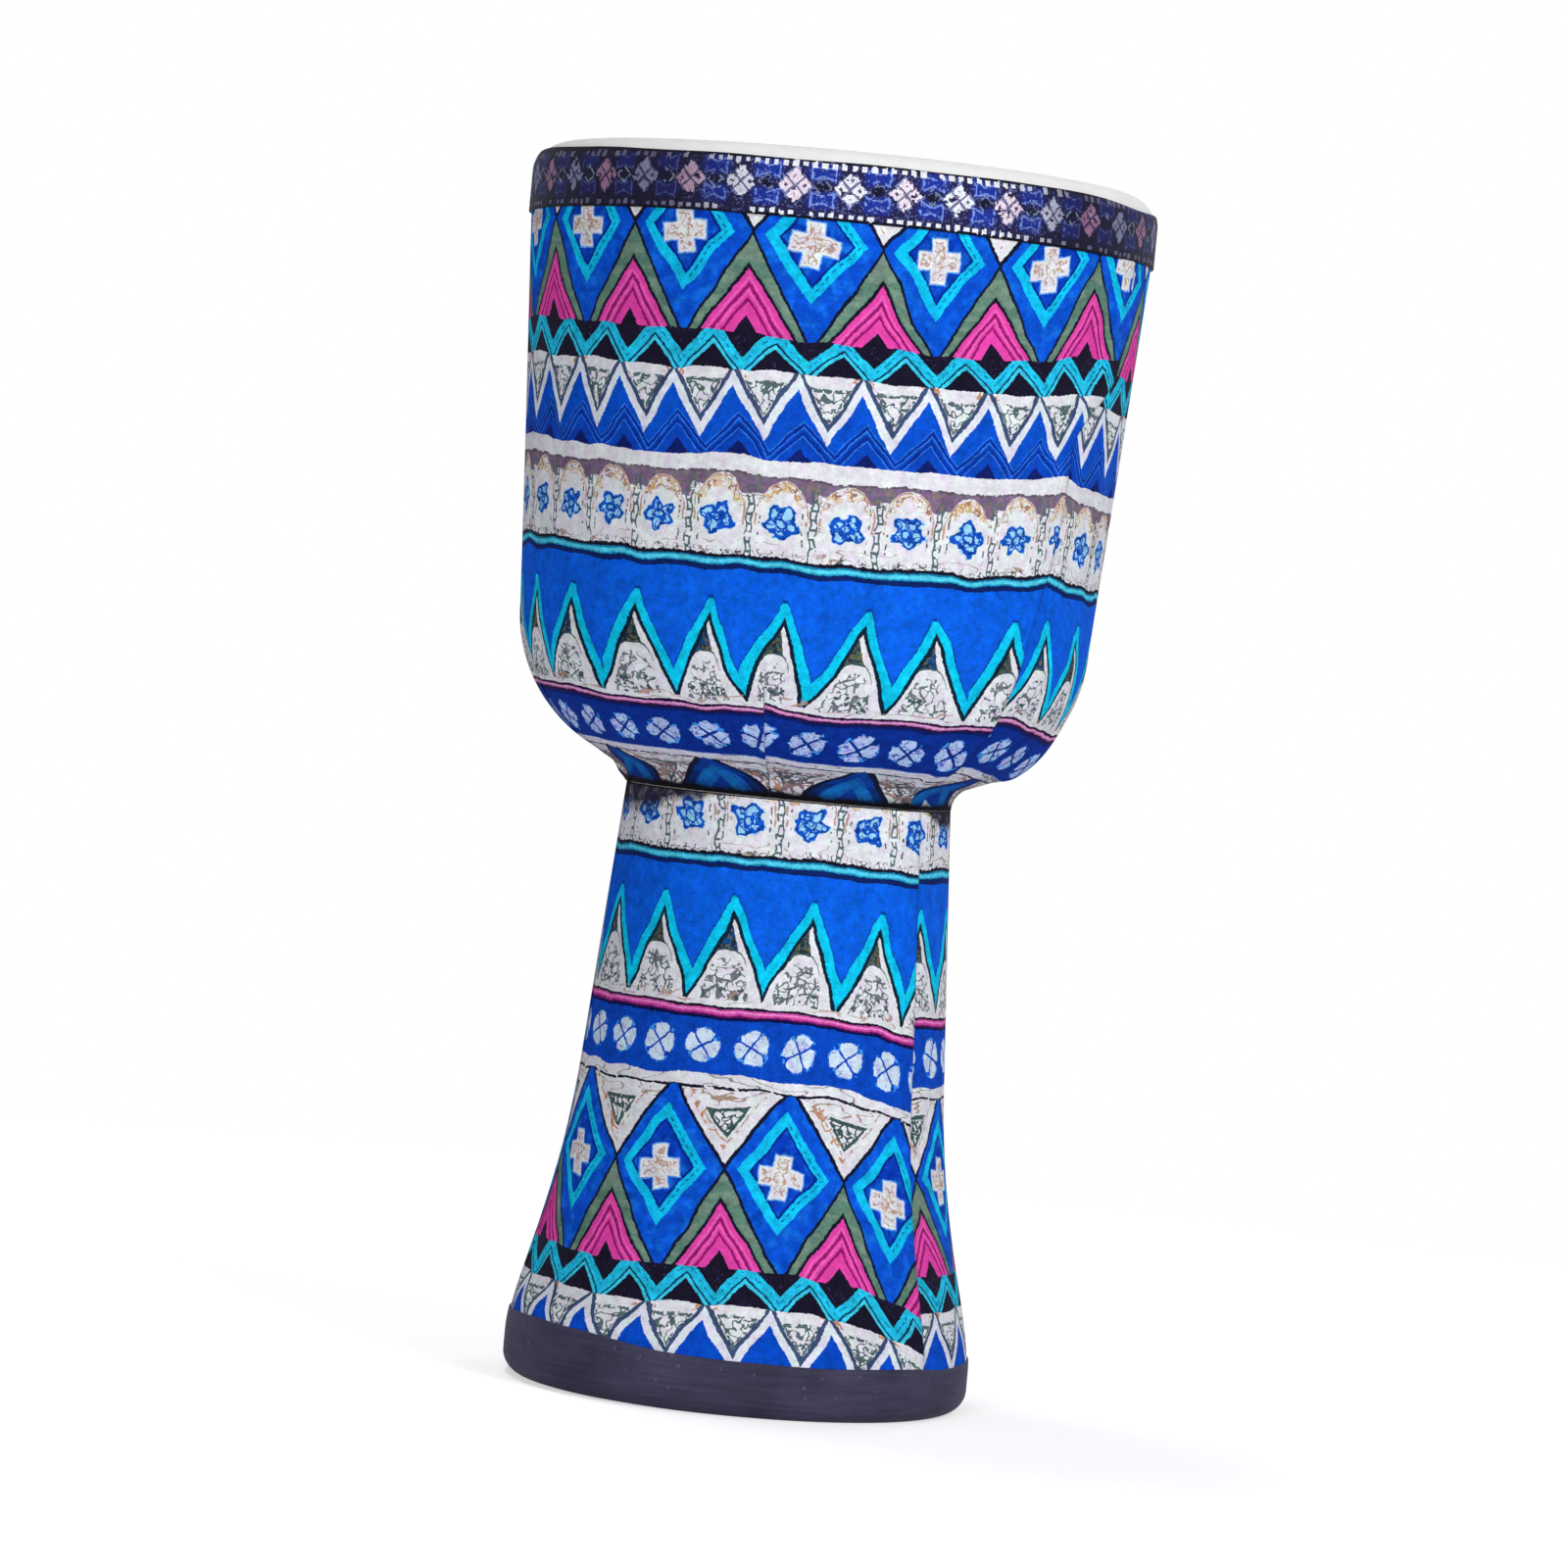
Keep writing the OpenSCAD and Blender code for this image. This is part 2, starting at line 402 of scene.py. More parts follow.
BLUE = ink(9, 96, 226)
DEEP_BLUE = ink(8, 84, 214)
ROYAL = ink(14, 66, 184)
NAVY = ink(12, 34, 96)
BLACK = ink(24, 21, 40)
CYAN = ink(16, 194, 240)
TEAL = ink(84, 206, 232)
WHITE = ink(229, 229, 235)
PALE = ink(208, 226, 243)
PINK = ink(230, 70, 170)
WINE = ink(150, 24, 104)
ROYAL_LINE = ink(10, 50, 158)
BAND_BLUE = ink(8, 72, 192)
PALE_BLUE = ink(56, 136, 238)
SAGE = ink(95, 132, 116)
GREY_INK = ink(84, 92, 96)
SOFT_INK = ink(84, 106, 108)
MAUVE = ink(122, 97, 134)
BOTTLE = ink(62, 88, 88)
RUST = ink(200, 142, 108)
OCHRE = ink(206, 176, 132)


class Cloth:
    """The print's tree, with the place on the cloth and the colour printed so far."""

    def __init__(self, tree, u, v, seed):
        self.tree = tree
        self.seed = seed
        self.at = point(tree, u, v, seed)
        drift = split(tree, noise(tree, self.at, 0.07, 1.0, colour=True))
        ragged = split(tree, noise(tree, self.at, 0.8, 2.0, colour=True))
        self.u = u + (drift[0] - 0.5) * 3.6 + (ragged[0] - 0.5) * 0.9
        down = v + (drift[1] - 0.5) * 3.4 + (ragged[1] - 0.5) * 0.9
        repeat = ((down - STRIPE_V) / REPEAT).floor()
        self.v = down - repeat * REPEAT
        self.second = repeat > 0.5
        self.colour = WHITE

    def cell(self, width, shift=0.0):
        """The distance from the nearest of a row of centres, and that centre's number."""
        number = ((self.u - shift) / width + 0.5).floor()
        return self.u - shift - number * width, number

    def chance(self, number, salt):
        """A number from 0 to 1 that is each motif's own."""
        node = self.tree.nodes.new("ShaderNodeTexWhiteNoise")
        node.noise_dimensions = "2D"
        plug(self.tree, point(self.tree, number, salt), node.inputs["Vector"])
        return Value(self.tree, node.outputs["Value"])

    def scribble(self, scale, width, salt=0.0, drawn_out=1.0):
        """1 on thin lines that wander over the cloth, like a pen's. drawn_out is how much
        longer they are along the row."""
        moved = point(self.tree, self.u * (scale / drawn_out) + salt, self.v * scale, self.seed)
        wander = noise(self.tree, moved, 1.0, 1.5)
        return abs(wander - 0.5) < width

    def dashes(self, scale, width):
        """1 on short pen strokes that meet at angles."""
        node = self.tree.nodes.new("ShaderNodeTexVoronoi")
        node.voronoi_dimensions = "2D"
        node.feature = "DISTANCE_TO_EDGE"
        node.inputs["Scale"].default_value = scale
        plug(self.tree, point(self.tree, self.u, self.v), node.inputs["Vector"])
        gap = noise(self.tree, self.at, 0.45, 1.0)
        return (Value(self.tree, node.outputs["Distance"]) < width) * (gap > 0.47)

    def blots(self, share):
        """1 on about that share of the cloth, in soft-edged blots."""
        return noise(self.tree, self.at, 0.5, 1.0) < 0.32 + 0.36 * share

    def ink_over(self, mask, colour):
        """Prints a colour where the mask is 1."""
        self.colour = over(self.tree, mask, colour, self.colour)

    def layers(self, depth, stops):
        """Colours that change at the given depths, as [(depth in millimetres, colour)]."""
        low = stops[0][0]
        span = stops[-1][0] - low + 1.0
        node = self.tree.nodes.new("ShaderNodeValToRGB")
        ramp = node.color_ramp
        ramp.interpolation = "CONSTANT"
        while len(ramp.elements) < len(stops):
            ramp.elements.new(0.5)
        for element, (start, colour) in zip(ramp.elements, stops):
            element.position = (start - low) / span
            element.color = colour
        plug(self.tree, (depth - low) / span, node.inputs[0])
        return node.outputs[0]


def row_of_diamonds(cloth):
    """A white stripe, then blue diamonds with a white cross, with pen-drawn triangles in
    the white between their tops and nested pink chevrons between their feet."""
    x, number = cloth.cell(DIAMOND_W)
    half = DIAMOND_W / 2
    top, foot = 2.2 - DIAMOND_V, 2.8 + BLACK_V
    v = cloth.v
    row = v > DIAMOND_V + 0.3
    between = half - abs(x)

    # Between the tops: a white triangle with a small pen-drawn one inside it
    rise = (-v).at_least(0.0) / top + v.at_least(0.0) / foot
    depth = (1.0 - abs(x) / half - rise) * 16.5
    white = v > DIAMOND_V + 0.9
    drawn = (depth < -5.6) * (v > -19.8) * white
    frame_line = (depth > -6.6).at_least(v < -18.7)
    cloth.ink_over(drawn * frame_line * cloth.scribble(0.4, 0.16), BOTTLE)
    cloth.ink_over(drawn * cloth.scribble(0.42, 0.06, 7.0), BOTTLE)
    side = (depth < -2.6) * (depth > -5.6) * white * (x > 0.0)
    cloth.ink_over(side * cloth.scribble(0.16, 0.03, 3.0), RUST)
    cloth.ink_over((abs(depth + 4.4) < 0.3) * white * cloth.blots(0.5), ink(190, 160, 140))
    cloth.ink_over(white * (v < -20.5) * cloth.scribble(0.3, 0.02, 5.0, 4.0), ink(170, 142, 128))
    cloth.ink_over((abs(v - DIAMOND_V - 0.2) < 0.4) * cloth.blots(0.85), BLACK)

    # Between the feet: green, with a tent of pink chevrons
    tent_h, tent_w = 21.8, 15.2
    tent = (1.0 - between / tent_w - (BLACK_V - v) / tent_h) * 11.5
    chevrons = cloth.layers(tent, [
        (-9.0, SAGE), (-0.4, BLACK), (0.5, PINK), (2.7, WINE), (3.5, PINK), (5.0, WINE),
        (5.8, PINK), (8.4, BLACK)])
    cloth.ink_over(v > 0.0, chevrons)
    faint = (v > 0.0) * (tent < -0.9) * cloth.scribble(0.14, 0.06, 13.0, 4.0)
    cloth.ink_over(faint * 0.4, ink(142, 160, 140))
    bright = abs(abs(tent - 3.1) - 1.0) < 0.25
    cloth.ink_over((v > 0.0) * bright * 0.35, ink(250, 140, 215))

    # The diamond itself; its ring is printed a little off to the left, and is shorter
    ring_rise = (-v).at_least(0.0) / 25.5 + v.at_least(0.0) / 26.3
    ring = (1.0 - abs(x + 0.9) / half - ring_rise) * 16.5
    inside = cloth.layers(ring, [
        (-8.0, DEEP_BLUE), (3.7, CYAN), (7.0, ink(6, 38, 140)), (7.8, ink(6, 62, 190)),
        (10.5, ink(5, 52, 172)), (17.0, BLUE)])
    worn = cloth.second * (depth < -0.45) * (v < 0.0)
    cloth.ink_over(worn * (v > -21.0) * cloth.scribble(0.24, 0.03, 27.0), ink(104, 92, 100))
    cloth.ink_over(worn * (v > -20.0) * cloth.scribble(0.16, 0.024, 29.0, 2.0), ink(150, 124, 124))
    cloth.ink_over(worn * 0.06, ink(140, 116, 130))
    heavy = (v < 0.0) * (0.3 + cloth.second * 0.7)
    cloth.ink_over(row * (depth > -0.5 - heavy), ink(18, 24, 50))
    cloth.ink_over(row * (depth > 0.4), inside)
    wash = (noise(cloth.tree, cloth.at, 0.24, 3.0) - 0.5) * 6.0
    blue = row * (depth > 0.4) * (ring < 3.7).at_least(ring > 7.8)
    cloth.ink_over(blue * clamped(wash) * 0.5, ink(26, 128, 236))
    cloth.ink_over(blue * clamped(-wash) * 0.4, ink(6, 62, 178))
    ring_line = (abs(ring - 5.7) < 0.22) * (x > 0.0) * (depth > 0.4)
    cloth.ink_over(ring_line * ((v * 3.0).sine() > -0.2), ink(8, 84, 160))

    # Painted shade: the diamonds of the second repeat, under the bowl by the neck, are painted darker,
    # darkest low down towards the crease, with lighter blotches in their middle
    cloth.ink_over((depth > 0.4) * cloth.second * 0.8, ink(10, 56, 138))
    middle = cloth.second * (depth > 3.4) * (depth < 8.6)
    cloth.ink_over(middle * (0.5 + cloth.blots(0.5) * 0.3), ink(22, 108, 190))
    low = cloth.second * (depth > 0.4) * (v > -14.5) * (depth < 3.0)
    cloth.ink_over(low * 0.6, ink(10, 18, 44))

    # Its cross, a little to the left and a little turned
    turn = (cloth.chance(number, 4.0) - 0.5) * 0.2
    across = x + 1.6 + turn * v
    down = v - 1.6 - turn * x
    upright = (abs(across) - 2.6).at_least(abs(down) - 6.9)
    level = (abs(across) - 7.2).at_least(abs(down) - 2.6)
    edge = upright.at_most(level)
    cloth.ink_over(edge < 0.8, ink(90, 160, 238))
    cloth.ink_over(edge < 0.35, WHITE)
    cloth.ink_over((edge < -0.5) * cloth.scribble(0.34, 0.035, 11.0) * 0.8, ink(176, 134, 112))
    cloth.ink_over((edge < -1.1) * cloth.scribble(0.3, 0.014, 17.0) * 0.7, ink(196, 160, 110))


def black_band(cloth):
    """A black band with a zigzag of one broad and one thin stroke of cyan."""
    x, number = cloth.cell(ZIGZAG_W)
    band = cloth.v > BLACK_V
    cloth.ink_over(band, BLACK)
    below = (cloth.v - 41.6 + abs(x) * 1.0) * 0.71
    cloth.ink_over(band * (abs(below) < 1.6), ink(36, 196, 234))
    cloth.ink_over(band * (abs(below - 1.95) < 0.35), ink(12, 60, 96))
    cloth.ink_over(band * (abs(below - 2.8) < 0.55), ink(60, 204, 236))
    cloth.ink_over(band * (abs(below + 0.1) < 0.3) * cloth.blots(0.4), ink(14, 130, 180))
    specks = noise(cloth.tree, cloth.at, 0.9, 1.0) > 0.66
    cloth.ink_over(band * (abs(below - 3.0) > 3.6) * specks * 0.5, ink(70, 56, 110))


def white_zigzag(cloth):
    """Scribbled white triangles, a broad white zigzag, and fine chevrons on blue."""
    x, number = cloth.cell(ZIGZAG_W, -2.5)
    v = cloth.v
    row = v > ZIGZAG_V
    cloth.ink_over(row, WHITE)
    below = (v - 46.4 - abs(x) * 1.62) * 0.53
    drawn = row * (v > ZIGZAG_V + 3.2) * (below < -2.9)
    cloth.ink_over(drawn * (abs(v - ZIGZAG_V - 3.9) < 0.45) * cloth.blots(0.6), SOFT_INK)
    cloth.ink_over(drawn * cloth.scribble(0.3, 0.034, 21.0), SOFT_INK)
    cloth.ink_over(drawn * (below > -3.7) * cloth.blots(0.5), SOFT_INK)
    rusty = cloth.chance(number, 20.0) > 0.45
    corner = row * rusty * (v < ZIGZAG_V + 2.2) * (below > -4.2)
    cloth.ink_over(corner * cloth.scribble(0.3, 0.05, 23.0), RUST)
    edge_w = noise(cloth.tree, cloth.at, 0.3, 2.0) * 2.0
    cloth.ink_over(row * (below > -1.8 - edge_w), ink(62, 80, 116))
    cloth.ink_over(row * (below > -1.4), ink(226, 231, 241))
    xc, number = cloth.cell(ZIGZAG_W, 0.0)
    field = cloth.layers(v - abs(xc) * 1.02, [
        (40.0, ink(8, 80, 204)), (56.9, PALE_BLUE), (57.2, ROYAL_LINE), (58.7, PALE_BLUE),
        (59.1, ink(10, 72, 192)), (60.1, ROYAL_LINE), (61.6, PALE_BLUE), (62.0, ink(10, 70, 190)),
        (66.0, ink(16, 30, 104))])
    field = over(cloth.tree, cloth.seed > 5.0, ink(6, 76, 200), field)
    cloth.ink_over(row * (below > 1.05), field)


def white_wave(cloth):
    """A plain white band with a soft edge."""
    cloth.ink_over(cloth.v > WAVE_V, WHITE)


def row_of_arches(cloth):
    """White arch-topped panels on mauve, each with a small blue flower, with pen-drawn
    posts between them."""
    x, number = cloth.cell(ZIGZAG_W, -4.0)
    v = cloth.v
    row = v > ARCH_V
    own = cloth.chance(number, 7.0)
    behind = over(cloth.tree, cloth.blots(0.75), MAUVE, ink(104, 110, 116))
    behind = over(cloth.tree, v < 80.0 + own * 3.0 + x * 0.1, behind, WHITE)
    cloth.ink_over(row, behind)
    cloth.ink_over(row * (v < 83.0) * cloth.scribble(0.3, 0.03, 61.0) * 0.7, ink(134, 120, 104))
    cloth.ink_over((abs(v - ARCH_V) < 0.35) * cloth.blots(0.6), ink(96, 84, 100))

    # Posts: two wavering lines with ticks between them
    edge = ZIGZAG_W / 2 - abs(x)
    waver = (v * 0.9 + number * 2.0).sine() * 0.35
    post = (abs(edge - 0.9 - waver) < 0.32).at_least((edge < 0.9) * ((v * 2.1).sine() > 0.62))
    cloth.ink_over(row * post * (v > 78.5) * cloth.blots(0.8), SOFT_INK)

    # The arch, with a thin rust and ochre crown
    half = 8.5
    crown = ARCH_V + 0.6 + own * 1.6 + (abs(x) / half).power(2.4) * 8.0
    depth = (v - crown).at_most(half - abs(x))
    cloth.ink_over(row * (depth > -0.3), WHITE)
    rim = row * (abs(depth - 0.2) < 0.35) * (v < 91.0)
    cloth.ink_over(rim * cloth.blots(0.7), ink(192, 154, 130))
    cloth.ink_over(row * (abs(depth - 1.6) < 0.28) * cloth.blots(0.35) * (v < 97.0), GREY_INK)
    top = row * (depth > 0.4) * (depth < 4.0) * (v < 84.0)
    rich = own > 0.5
    cloth.ink_over(top * cloth.scribble(0.24, 0.05, 31.0), ink(222, 204, 172))
    cloth.ink_over(top * rich * cloth.scribble(0.22, 0.028, 35.0), ink(210, 172, 116))
    cloth.ink_over(top * cloth.scribble(0.28, 0.02, 33.0), ink(164, 120, 100))
    low = row * (v > 96.5) * (depth > 0.0)
    cloth.ink_over(low * cloth.scribble(0.2, 0.01, 37.0, 3.0), ink(176, 150, 140))
    cloth.ink_over(low * (v > 98.8) * cloth.scribble(0.3, 0.014, 39.0), GREY_INK)

    # The flower: petals about a ring, their number and turn its own
    fx = x + (cloth.chance(number, 8.0) - 0.5) * 1.0
    fy = (v - 89.8) * 1.18
    away = (fx * fx + fy * fy).power(0.5)
    around = maths(cloth.tree, "ARCTAN2", fy, fx)
    petals = 4.0 + (cloth.chance(number, 9.0) * 2.99).floor()
    wave = (around * petals + cloth.chance(number, 10.0) * 6.28).sine()
    shaky = noise(cloth.tree, cloth.at, 0.3, 3.0)
    reach = away + (shaky - 0.5) * 6.0
    tip = 4.7 + wave * 0.9
    cloth.ink_over(row * (reach < tip + 1.0), ink(150, 208, 240))
    petals = abs(reach - tip) < 0.7
    between = (abs(wave + 0.75) < 0.22) * (reach < tip) * (reach > 1.2)
    strokes = petals.at_least(between).at_least(abs(reach - 1.7) < 0.6)
    cloth.ink_over(row * strokes, ink(18, 84, 198))
    cloth.ink_over(row * strokes * cloth.blots(0.36), ink(12, 58, 150))
    drawn = row * (reach < tip - 0.4) * cloth.scribble(0.26, 0.03, 69.0)
    cloth.ink_over(drawn, ink(16, 80, 190))


def dark_lines(cloth):
    """Black, teal and navy lines that close the row of panels, then plain blue."""
    scallop = (abs((cloth.u * 0.9).sine()) * 0.5) * cloth.blots(0.6)
    cloth.ink_over(cloth.v > LINES_V + 0.1 - scallop, ink(12, 34, 52))
    lines = cloth.layers(cloth.v, [
        (99.4, BLACK), (LINES_V + 1.0, ink(20, 130, 176)), (LINES_V + 1.5, TEAL),
        (LINES_V + 2.7, ink(30, 150, 196)), (LINES_V + 3.2, NAVY), (LINES_V + 4.9, BLUE),
        (FIELD_V + 10.0, BLUE)])
    cloth.ink_over(cloth.v > LINES_V, lines)


def row_of_mountains(cloth):
    """White peaks with a broad cyan edge, a dark cap and a dome filled with pen strokes."""
    x, number = cloth.cell(MOUNTAIN_W, -2.0)
    v = cloth.v
    row = v > FIELD_V
    x = x + (cloth.chance(number, 13.0) - 0.5) * 2.4
    x = x + (cloth.chance(number, 14.0) - 0.5) * 0.16 * (STRIP_V - v)
    peak = 115.0 + (cloth.chance(number, 15.0) - 0.5) * 2.4
    steep = 1.9 + (x > 0.0) * 0.15
    valley = (abs(x) - 0.9).at_least(0.0) * steep
    cloth.ink_over(row * (v > peak + valley - 0.9) * cloth.blots(0.8), ink(6, 66, 160))
    cloth.ink_over(row * (v > peak + valley), ink(12, 200, 240))
    foot_w = MOUNTAIN_W / 2 - 0.3
    below = (v - peak - 5.8 - abs(x) * ((STRIP_V - 0.2 - peak - 5.8) / foot_w)) * 0.43
    cloth.ink_over(row * (below > -0.8), ink(14, 34, 52))
    cloth.ink_over(row * (below > 0.45), WHITE)

    # The cap fills the left of the tip, over the dome's rounded top
    dome = 131.0 + (abs(x + 0.8) / 5.0).power(3.0) * 3.0
    cap = row * (below > 0.45) * (v < dome.at_most(136.0)) * (x < (v - peak - 8.0) * 0.3 - 0.8)
    shade = over(cloth.tree, cloth.chance(number, 16.0) > 0.6, ink(20, 74, 130), BOTTLE)
    cloth.ink_over(cap, shade)
    cloth.ink_over(cap * cloth.scribble(0.36, 0.03, 41.0), ink(112, 100, 62))
    cloth.ink_over(cap * cloth.scribble(0.3, 0.03, 47.0), ink(30, 46, 60))
    cloth.ink_over(row * (below > 0.4) * (abs(v - dome) < 0.3) * (v < 137.0), BOTTLE)
    strokes = row * (below > 1.6) * (v > dome + 3.0)
    cloth.ink_over(strokes * cloth.scribble(0.24, 0.026, 45.0), ink(116, 124, 130))
    cloth.ink_over(strokes * cloth.dashes(0.2, 0.065), ink(100, 106, 114))
    foot = strokes * (v > 141.8) * cloth.blots(0.22)
    cloth.ink_over(foot * cloth.scribble(0.4, 0.12, 49.0), BOTTLE)
    rust = row * (v > 145.2) * cloth.scribble(0.14, 0.014, 43.0, 3.0)
    cloth.ink_over(rust * 0.8, ink(184, 140, 122))


def row_of_rosettes(cloth):
    """A white strip, a pink line, and a royal blue band of white rosettes."""
    v = cloth.v
    row = v > STRIP_V
    lines = cloth.layers(v, [
        (STRIP_V - 0.6, WHITE), (STRIP_V + 1.8, BLACK), (STRIP_V + 2.5, ink(214, 84, 170)),
        (STRIP_V + 3.0, ink(240, 140, 208)), (STRIP_V + 3.6, ink(206, 72, 162)),
        (STRIP_V + 4.3, ink(112, 20, 96)),
        (STRIP_V + 4.8, ink(8, 16, 70)), (ROSETTE_V, BAND_BLUE), (171.8, WHITE), (173.0, WHITE)])
    cloth.ink_over(row, lines)
    upper = cloth.seed < 5.0
    faded = row * (v < ROSETTE_V) * upper
    cloth.ink_over(faded * (v > STRIP_V + 1.6), ink(36, 18, 52))
    cloth.ink_over(faded * (abs(v - STRIP_V - 3.1) < 0.65), ink(190, 100, 168))
    cloth.ink_over(faded * (abs(v - STRIP_V - 3.0) < 0.28) * 0.8, ink(232, 184, 220))
    cloth.ink_over(faded * (v > STRIP_V + 4.6), ink(10, 30, 104))
    # On the bowl the band is painted a darker blue, as painted shade under the bowl
    cloth.ink_over((row * (v > ROSETTE_V) * (v < 171.8)) * upper, ink(9, 48, 146))
    cloth.ink_over(row * (abs(v - 172.3) < 0.7) * upper, ink(130, 152, 222))
    rust = row * (v < STRIP_V + 1.2) * cloth.scribble(0.16, 0.014, 51.0, 3.0)
    cloth.ink_over(rust * 0.7, ink(184, 140, 122))
    cloth.ink_over((v > 172.2) * cloth.scribble(0.2, 0.018, 53.0, 4.0), ink(170, 142, 128))

    x, number = cloth.cell(ROSETTE_W, 1.5)
    y = v - 162.4
    turn = cloth.chance(number, 18.0) * 0.8 + 0.4
    c, s = (turn + 1.57).sine(), turn.sine()
    ax = abs(x * c + y * s)
    ay = abs(y * c - x * s)
    away = (x * x + y * y).power(0.5)
    spoke = ax.at_most(ay)
    shaky = noise(cloth.tree, cloth.at, 0.45, 3.0)
    reach = away + (shaky - 0.5) * (1.0 + upper * 2.4)
    gap_w = 0.36 + upper * 0.14
    petal = (reach < 5.7) * (spoke > gap_w + (away - 4.4).at_least(0.0) * 0.8)
    cloth.ink_over(row * (reach < 6.2) * (away > 4.0) * cloth.blots(0.45), ink(70, 150, 235))
    cold = over(cloth.tree, upper, ink(188, 210, 247), PALE)
    cloth.ink_over(row * petal, cold)
    lilac = noise(cloth.tree, point(cloth.tree, cloth.u, cloth.v, 57.0), 0.34, 2.0)
    cloth.ink_over(row * petal * (lilac > 0.66 - upper * 0.08), ink(188, 192, 240))
    bites = row * petal * (away > 1.0) * cloth.scribble(0.3, 0.006 + upper * 0.012, 59.0)
    cloth.ink_over(bites, ink(84, 112, 200))


def clamped(value):
    return value.at_least(0.0).at_most(1.0)


def printed_cotton():
    material, tree, shader = new_finish(
        "printed_cotton", 0.85, Specular_IOR_Level=0.05
    )
    marks = tree.nodes.new("ShaderNodeAttribute")
    marks.attribute_name = "cloth"
    edges = tree.nodes.new("ShaderNodeAttribute")
    edges.attribute_name = "edge_shade_and_dust"
    u, v, seed = split(tree, marks.outputs["Vector"])
    cloth = Cloth(tree, u, v, seed)
    cloth.ink_over((cloth.v < DIAMOND_V) * cloth.scribble(0.2, 0.01, 53.0, 4.0), ink(150, 144, 148))
    row_of_diamonds(cloth)
    black_band(cloth)
    white_zigzag(cloth)
    white_wave(cloth)
    row_of_arches(cloth)
    dark_lines(cloth)
    row_of_mountains(cloth)
    row_of_rosettes(cloth)

    # The dye is uneven, and the weave shows through it
    patchy = noise(tree, cloth.at, 0.14, 3.0)
    specks = noise(tree, cloth.at, 1.1, 3.0)
    slubs = noise(tree, point(tree, u * 0.35, v * 2.4, seed), 1.0, 2.0)
    blotchy = noise(tree, cloth.at, 0.42, 3.0)
    uneven_dye = (patchy - 0.5) * 0.7 + (blotchy - 0.5) * 0.9 + (specks - 0.5) * 0.8
    uneven_dye = uneven_dye + (slubs - 0.5) * 0.5
    red, _, _ = split(tree, cloth.colour)
    depth = 1.02 + uneven_dye * (1.0 - red * 0.6)
    hue = 0.76 + noise(tree, cloth.at, 0.26, 3.0) * 0.48
    colour = tinted(tree, cloth.colour, depth, hue)

    # Painted shade: the crease where the two lengths meet is painted near black as its shadow, fading up
    # the bowl's underside, and a patchy painted shadow of the bowl runs down the neck at the left and the
    # right, none at the front
    x, _, height = split(tree, place(tree))
    above = clamped((202.4 - height + (patchy - 0.5) * 3.0) / 5.4)
    crease_shadow = above * above * above * (height > crease_z - 0.5)
    reach = clamped((-x - 23.0) / 5.0) * 4.5 + clamped((-x - 38.0) / 5.0) * 5.5
    reach = reach + clamped((x - 44.0) / 6.0) * 7.5 + (blotchy - 0.5) * 5.0
    lower = crease_z - height
    neck_shadow = clamped((reach - lower) / (abs(reach) * 0.4 + 1.0)) * clamped(lower * 3.0)
    neck_shadow = neck_shadow * clamped((abs(x) - 22.0) / 6.0) * (0.72 + patchy * 0.7 - specks * 0.2)
    # Painted shadow of the bowl on the neck
    colour = over(tree, clamped(neck_shadow), ink(38, 31, 52), colour)
    # Painted shadow in the crease
    colour = over(tree, clamped(crease_shadow * 1.15), ink(12, 11, 18), colour)

    # Painted shade, with some dust, on the lower layer beside the edge of each lap and fold
    edge_shade_and_dust = split(tree, edges.outputs["Vector"])[0]
    colour = over(tree, edge_shade_and_dust * (0.08 + specks * 0.45), ink(40, 40, 60), colour)
    plug(tree, colour, shader.inputs["Base Color"])
    pitch = 0.55
    warp = (u * (2 * math.pi / pitch)).sine()
    weft = (v * (2 * math.pi / pitch)).sine()
    relief(tree, shader, warp * weft * 0.3 + specks * 0.4 + slubs * 0.3, 0.14 * MM)
    return material


crease_z = 195.7
cotton = printed_cotton()
cloth_t = 0.6


class Outline:
    """A side view of the shell's outside as (radius, height), measured along itself."""

    def __init__(self, points):
        self.points = np.array(points)
        steps = np.hypot(*np.diff(self.points, axis=0).T)
        self.along = np.concatenate([[0.0], np.cumsum(steps)])
        self.length = self.along[-1]

    def at(self, s):
        """(radius, height) at distances s along the outline."""
        return np.array([np.interp(s, self.along, self.points[:, k]) for k in (0, 1)])

    def outward(self, s):
        """The outline's outward direction at distances s, as (radius, height)."""
        ahead = self.at(np.minimum(s + 0.6, self.length))
        step = ahead - self.at(np.maximum(s - 0.6, 0.0))
        return np.array([-step[1], step[0]]) / np.hypot(*step)

    def where(self, height):
        """The distance along the outline of a height."""
        return np.interp(-np.asarray(height), -self.points[:, 1], self.along)


def eased(x, low, high):
    """0 up to low, 1 from high on, and smooth between."""
    t = np.clip((x - low) / (high - low), 0, 1)
    return t * t * (3 - 2 * t)


def uneven(seed, angles, s, size):
    """Gentle, repeatable unevenness from -1 to 1 over the angles and the outline."""
    rng = np.random.default_rng(seed)
    total = np.zeros(np.broadcast(angles, s).shape)
    for _ in range(12):
        turns = rng.integers(2, 16)
        wave = np.sin(turns * np.radians(angles) + rng.uniform(0, 2 * math.pi))
        total = total + wave * np.sin(s / size * rng.uniform(0.4, 1.6) + rng.uniform(0, 2 * math.pi))
    return total / 6


